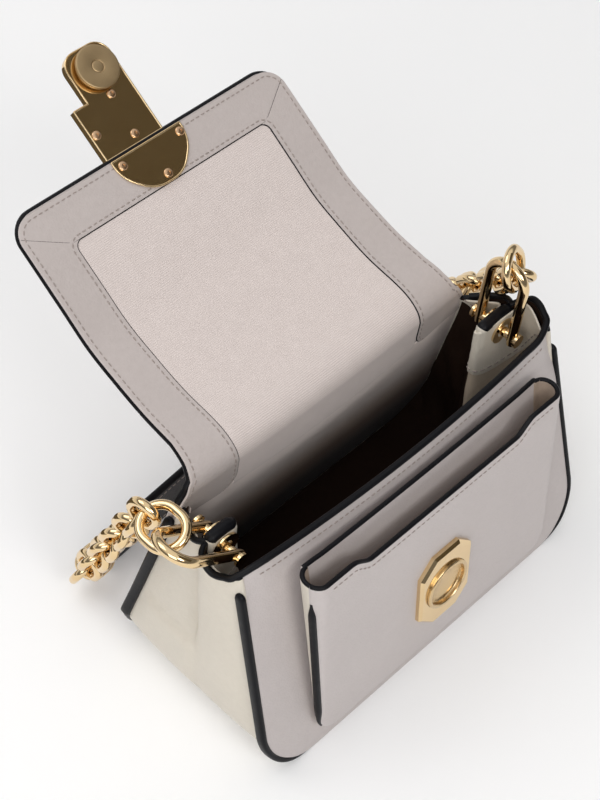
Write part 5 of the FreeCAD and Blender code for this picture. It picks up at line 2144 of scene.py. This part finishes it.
@dataclass
class Studio:
    """Pale floor, soft lights and the camera at the photograph's place."""

    camera_place: Triple = (-0.3832, -0.2671, 0.6888)
    right: Triple = (0.6971, -0.7125, 0.0793)
    up: Triple = (0.5208, 0.5794, 0.6270)
    focal_px: float = 1862.97
    sky: tuple[tuple[float, float], ...] = ((0.0, 0.42), (0.12, 0.16), (0.48, 0.22), (0.72, 0.81), (1.0, 0.87))

    def build_camera(self) -> None:
        """A camera whose picture's long side is the sensor's full width."""
        sensor, long_side_px = 36.0, 800.0
        data = bpy.data.cameras.new("camera")
        data.sensor_width = sensor
        data.sensor_fit = "AUTO"
        data.lens = self.focal_px / long_side_px * sensor
        data.clip_start = 0.01
        item = bpy.data.objects.new("camera", data)
        bpy.context.collection.objects.link(item)
        right = unit(np.array(self.right))
        back = unit(np.cross(right, np.array(self.up)))
        up = np.cross(back, right)
        turn = Matrix(np.stack([right, up, back], axis=1).tolist()).to_4x4()
        turn.translation = Vector(self.camera_place)
        item.matrix_world = turn
        bpy.context.scene.camera = item

    def build_floor(self) -> None:
        """A pale floor that curves up far behind the object."""
        reach, bend, rise = 3000.0, 1200.0, 1500.0
        x, y = np.linspace(-reach, reach, 30), np.linspace(-reach, reach, 60)
        z = rise * smooth(y, bend, reach)
        grid = xyz(x[None], y[:, None], z[:, None])
        floor = make("floor", grid.reshape(-1, 3), [grid_quads(len(y), len(x))], [FLOOR])

    def build_lights(self) -> None:
        """A large soft key from behind, a fill from the left and a smaller light from the front."""
        for name, place, aim, size, power, colour in (
            ("key", (-0.55, 0.95, 1.6), (0.0, 0.02, 0.08), 1.1, 6.4, (1.0, 0.985, 0.965)),
            ("fill", (-1.3, -0.7, 1.0), (0.0, 0.0, 0.06), 1.0, 7.4, (0.98, 0.99, 1.0)),
            ("front", (-0.3, -1.25, 1.15), (0.0, 0.0, 0.1), 0.6, 6.2, (1.0, 0.985, 0.97)),
        ):
            data = bpy.data.lights.new(name, "AREA")
            data.size = size
            data.energy = power
            data.color = colour
            item = bpy.data.objects.new(name, data)
            item.location = place
            item.rotation_euler = (Vector(aim) - Vector(place)).to_track_quat("-Z", "Y").to_euler()
            bpy.context.collection.objects.link(item)

    def build_cards(self) -> None:
        """Dark surfaces for the metal to mirror: a bowed card, and a mat that only reflections see."""
        count = 9
        share = np.linspace(-1.0, 1.0, count)
        u, v = np.meshgrid(share, share)
        centre, half, depth = np.array([620.0, -620.0, 900.0]), 420.0, 60.0
        side, up = np.array([0.707, 0.707, 0.0]), np.array([-0.47, 0.47, 0.745])
        bulge = depth * (u**2 + v**2)
        grid = centre + half * u[..., None] * side + half * v[..., None] * up - bulge[..., None] * np.cross(side, up)
        make("dark_card", grid.reshape(-1, 3), [grid_quads(count, count)], [CARD])
        middle, wide, deep = (-230.0, 380.0, 2.0), 200.0, 250.0
        low = xyz(middle[0] + wide * u, middle[1] + deep * v, middle[2])
        mat = make("dark_mat", low.reshape(-1, 3), [grid_quads(count, count)], [CARD])
        mat.visible_camera = mat.visible_diffuse = mat.visible_shadow = False

    def build_sky(self) -> None:
        """A world whose brightness depends on the height that a ray looks up to."""
        world = bpy.data.worlds.new("studio")
        world.use_nodes = True
        tree = world.node_tree
        where = tree.nodes.new("ShaderNodeTexCoord")
        split = tree.nodes.new("ShaderNodeSeparateXYZ")
        shade = tree.nodes.new("ShaderNodeValToRGB")
        tree.links.new(where.outputs["Generated"], split.inputs["Vector"])
        tree.links.new(split.outputs["Z"], shade.inputs["Fac"])
        tree.links.new(shade.outputs["Color"], tree.nodes["Background"].inputs["Color"])
        fill_ramp(shade, [(place, (level, level, level * 1.01)) for place, level in self.sky])
        bpy.context.scene.world = world
        bpy.context.scene.view_settings.view_transform = "Standard"

    def build(self) -> None:
        """Camera, floor, lights, cards and sky."""
        self.build_camera()
        self.build_floor()
        self.build_lights()
        self.build_cards()
        self.build_sky()


def main() -> None:
    """Builds the bag's looks in order."""
    logging.basicConfig(level=logging.INFO, format="%(name)s: %(message)s")
    known = set(bpy.data.objects.keys())
    for part in (Studio(), Shell(), Pocket(), Flap(), Tab(), Chain()):
        part.build()
        made = [name for name in bpy.data.objects.keys() if name not in known]
        for name in made:
            LOG.info("%s made %s", type(part).__name__, name)
        known.update(made)


if __name__ == "__main__":
    main()
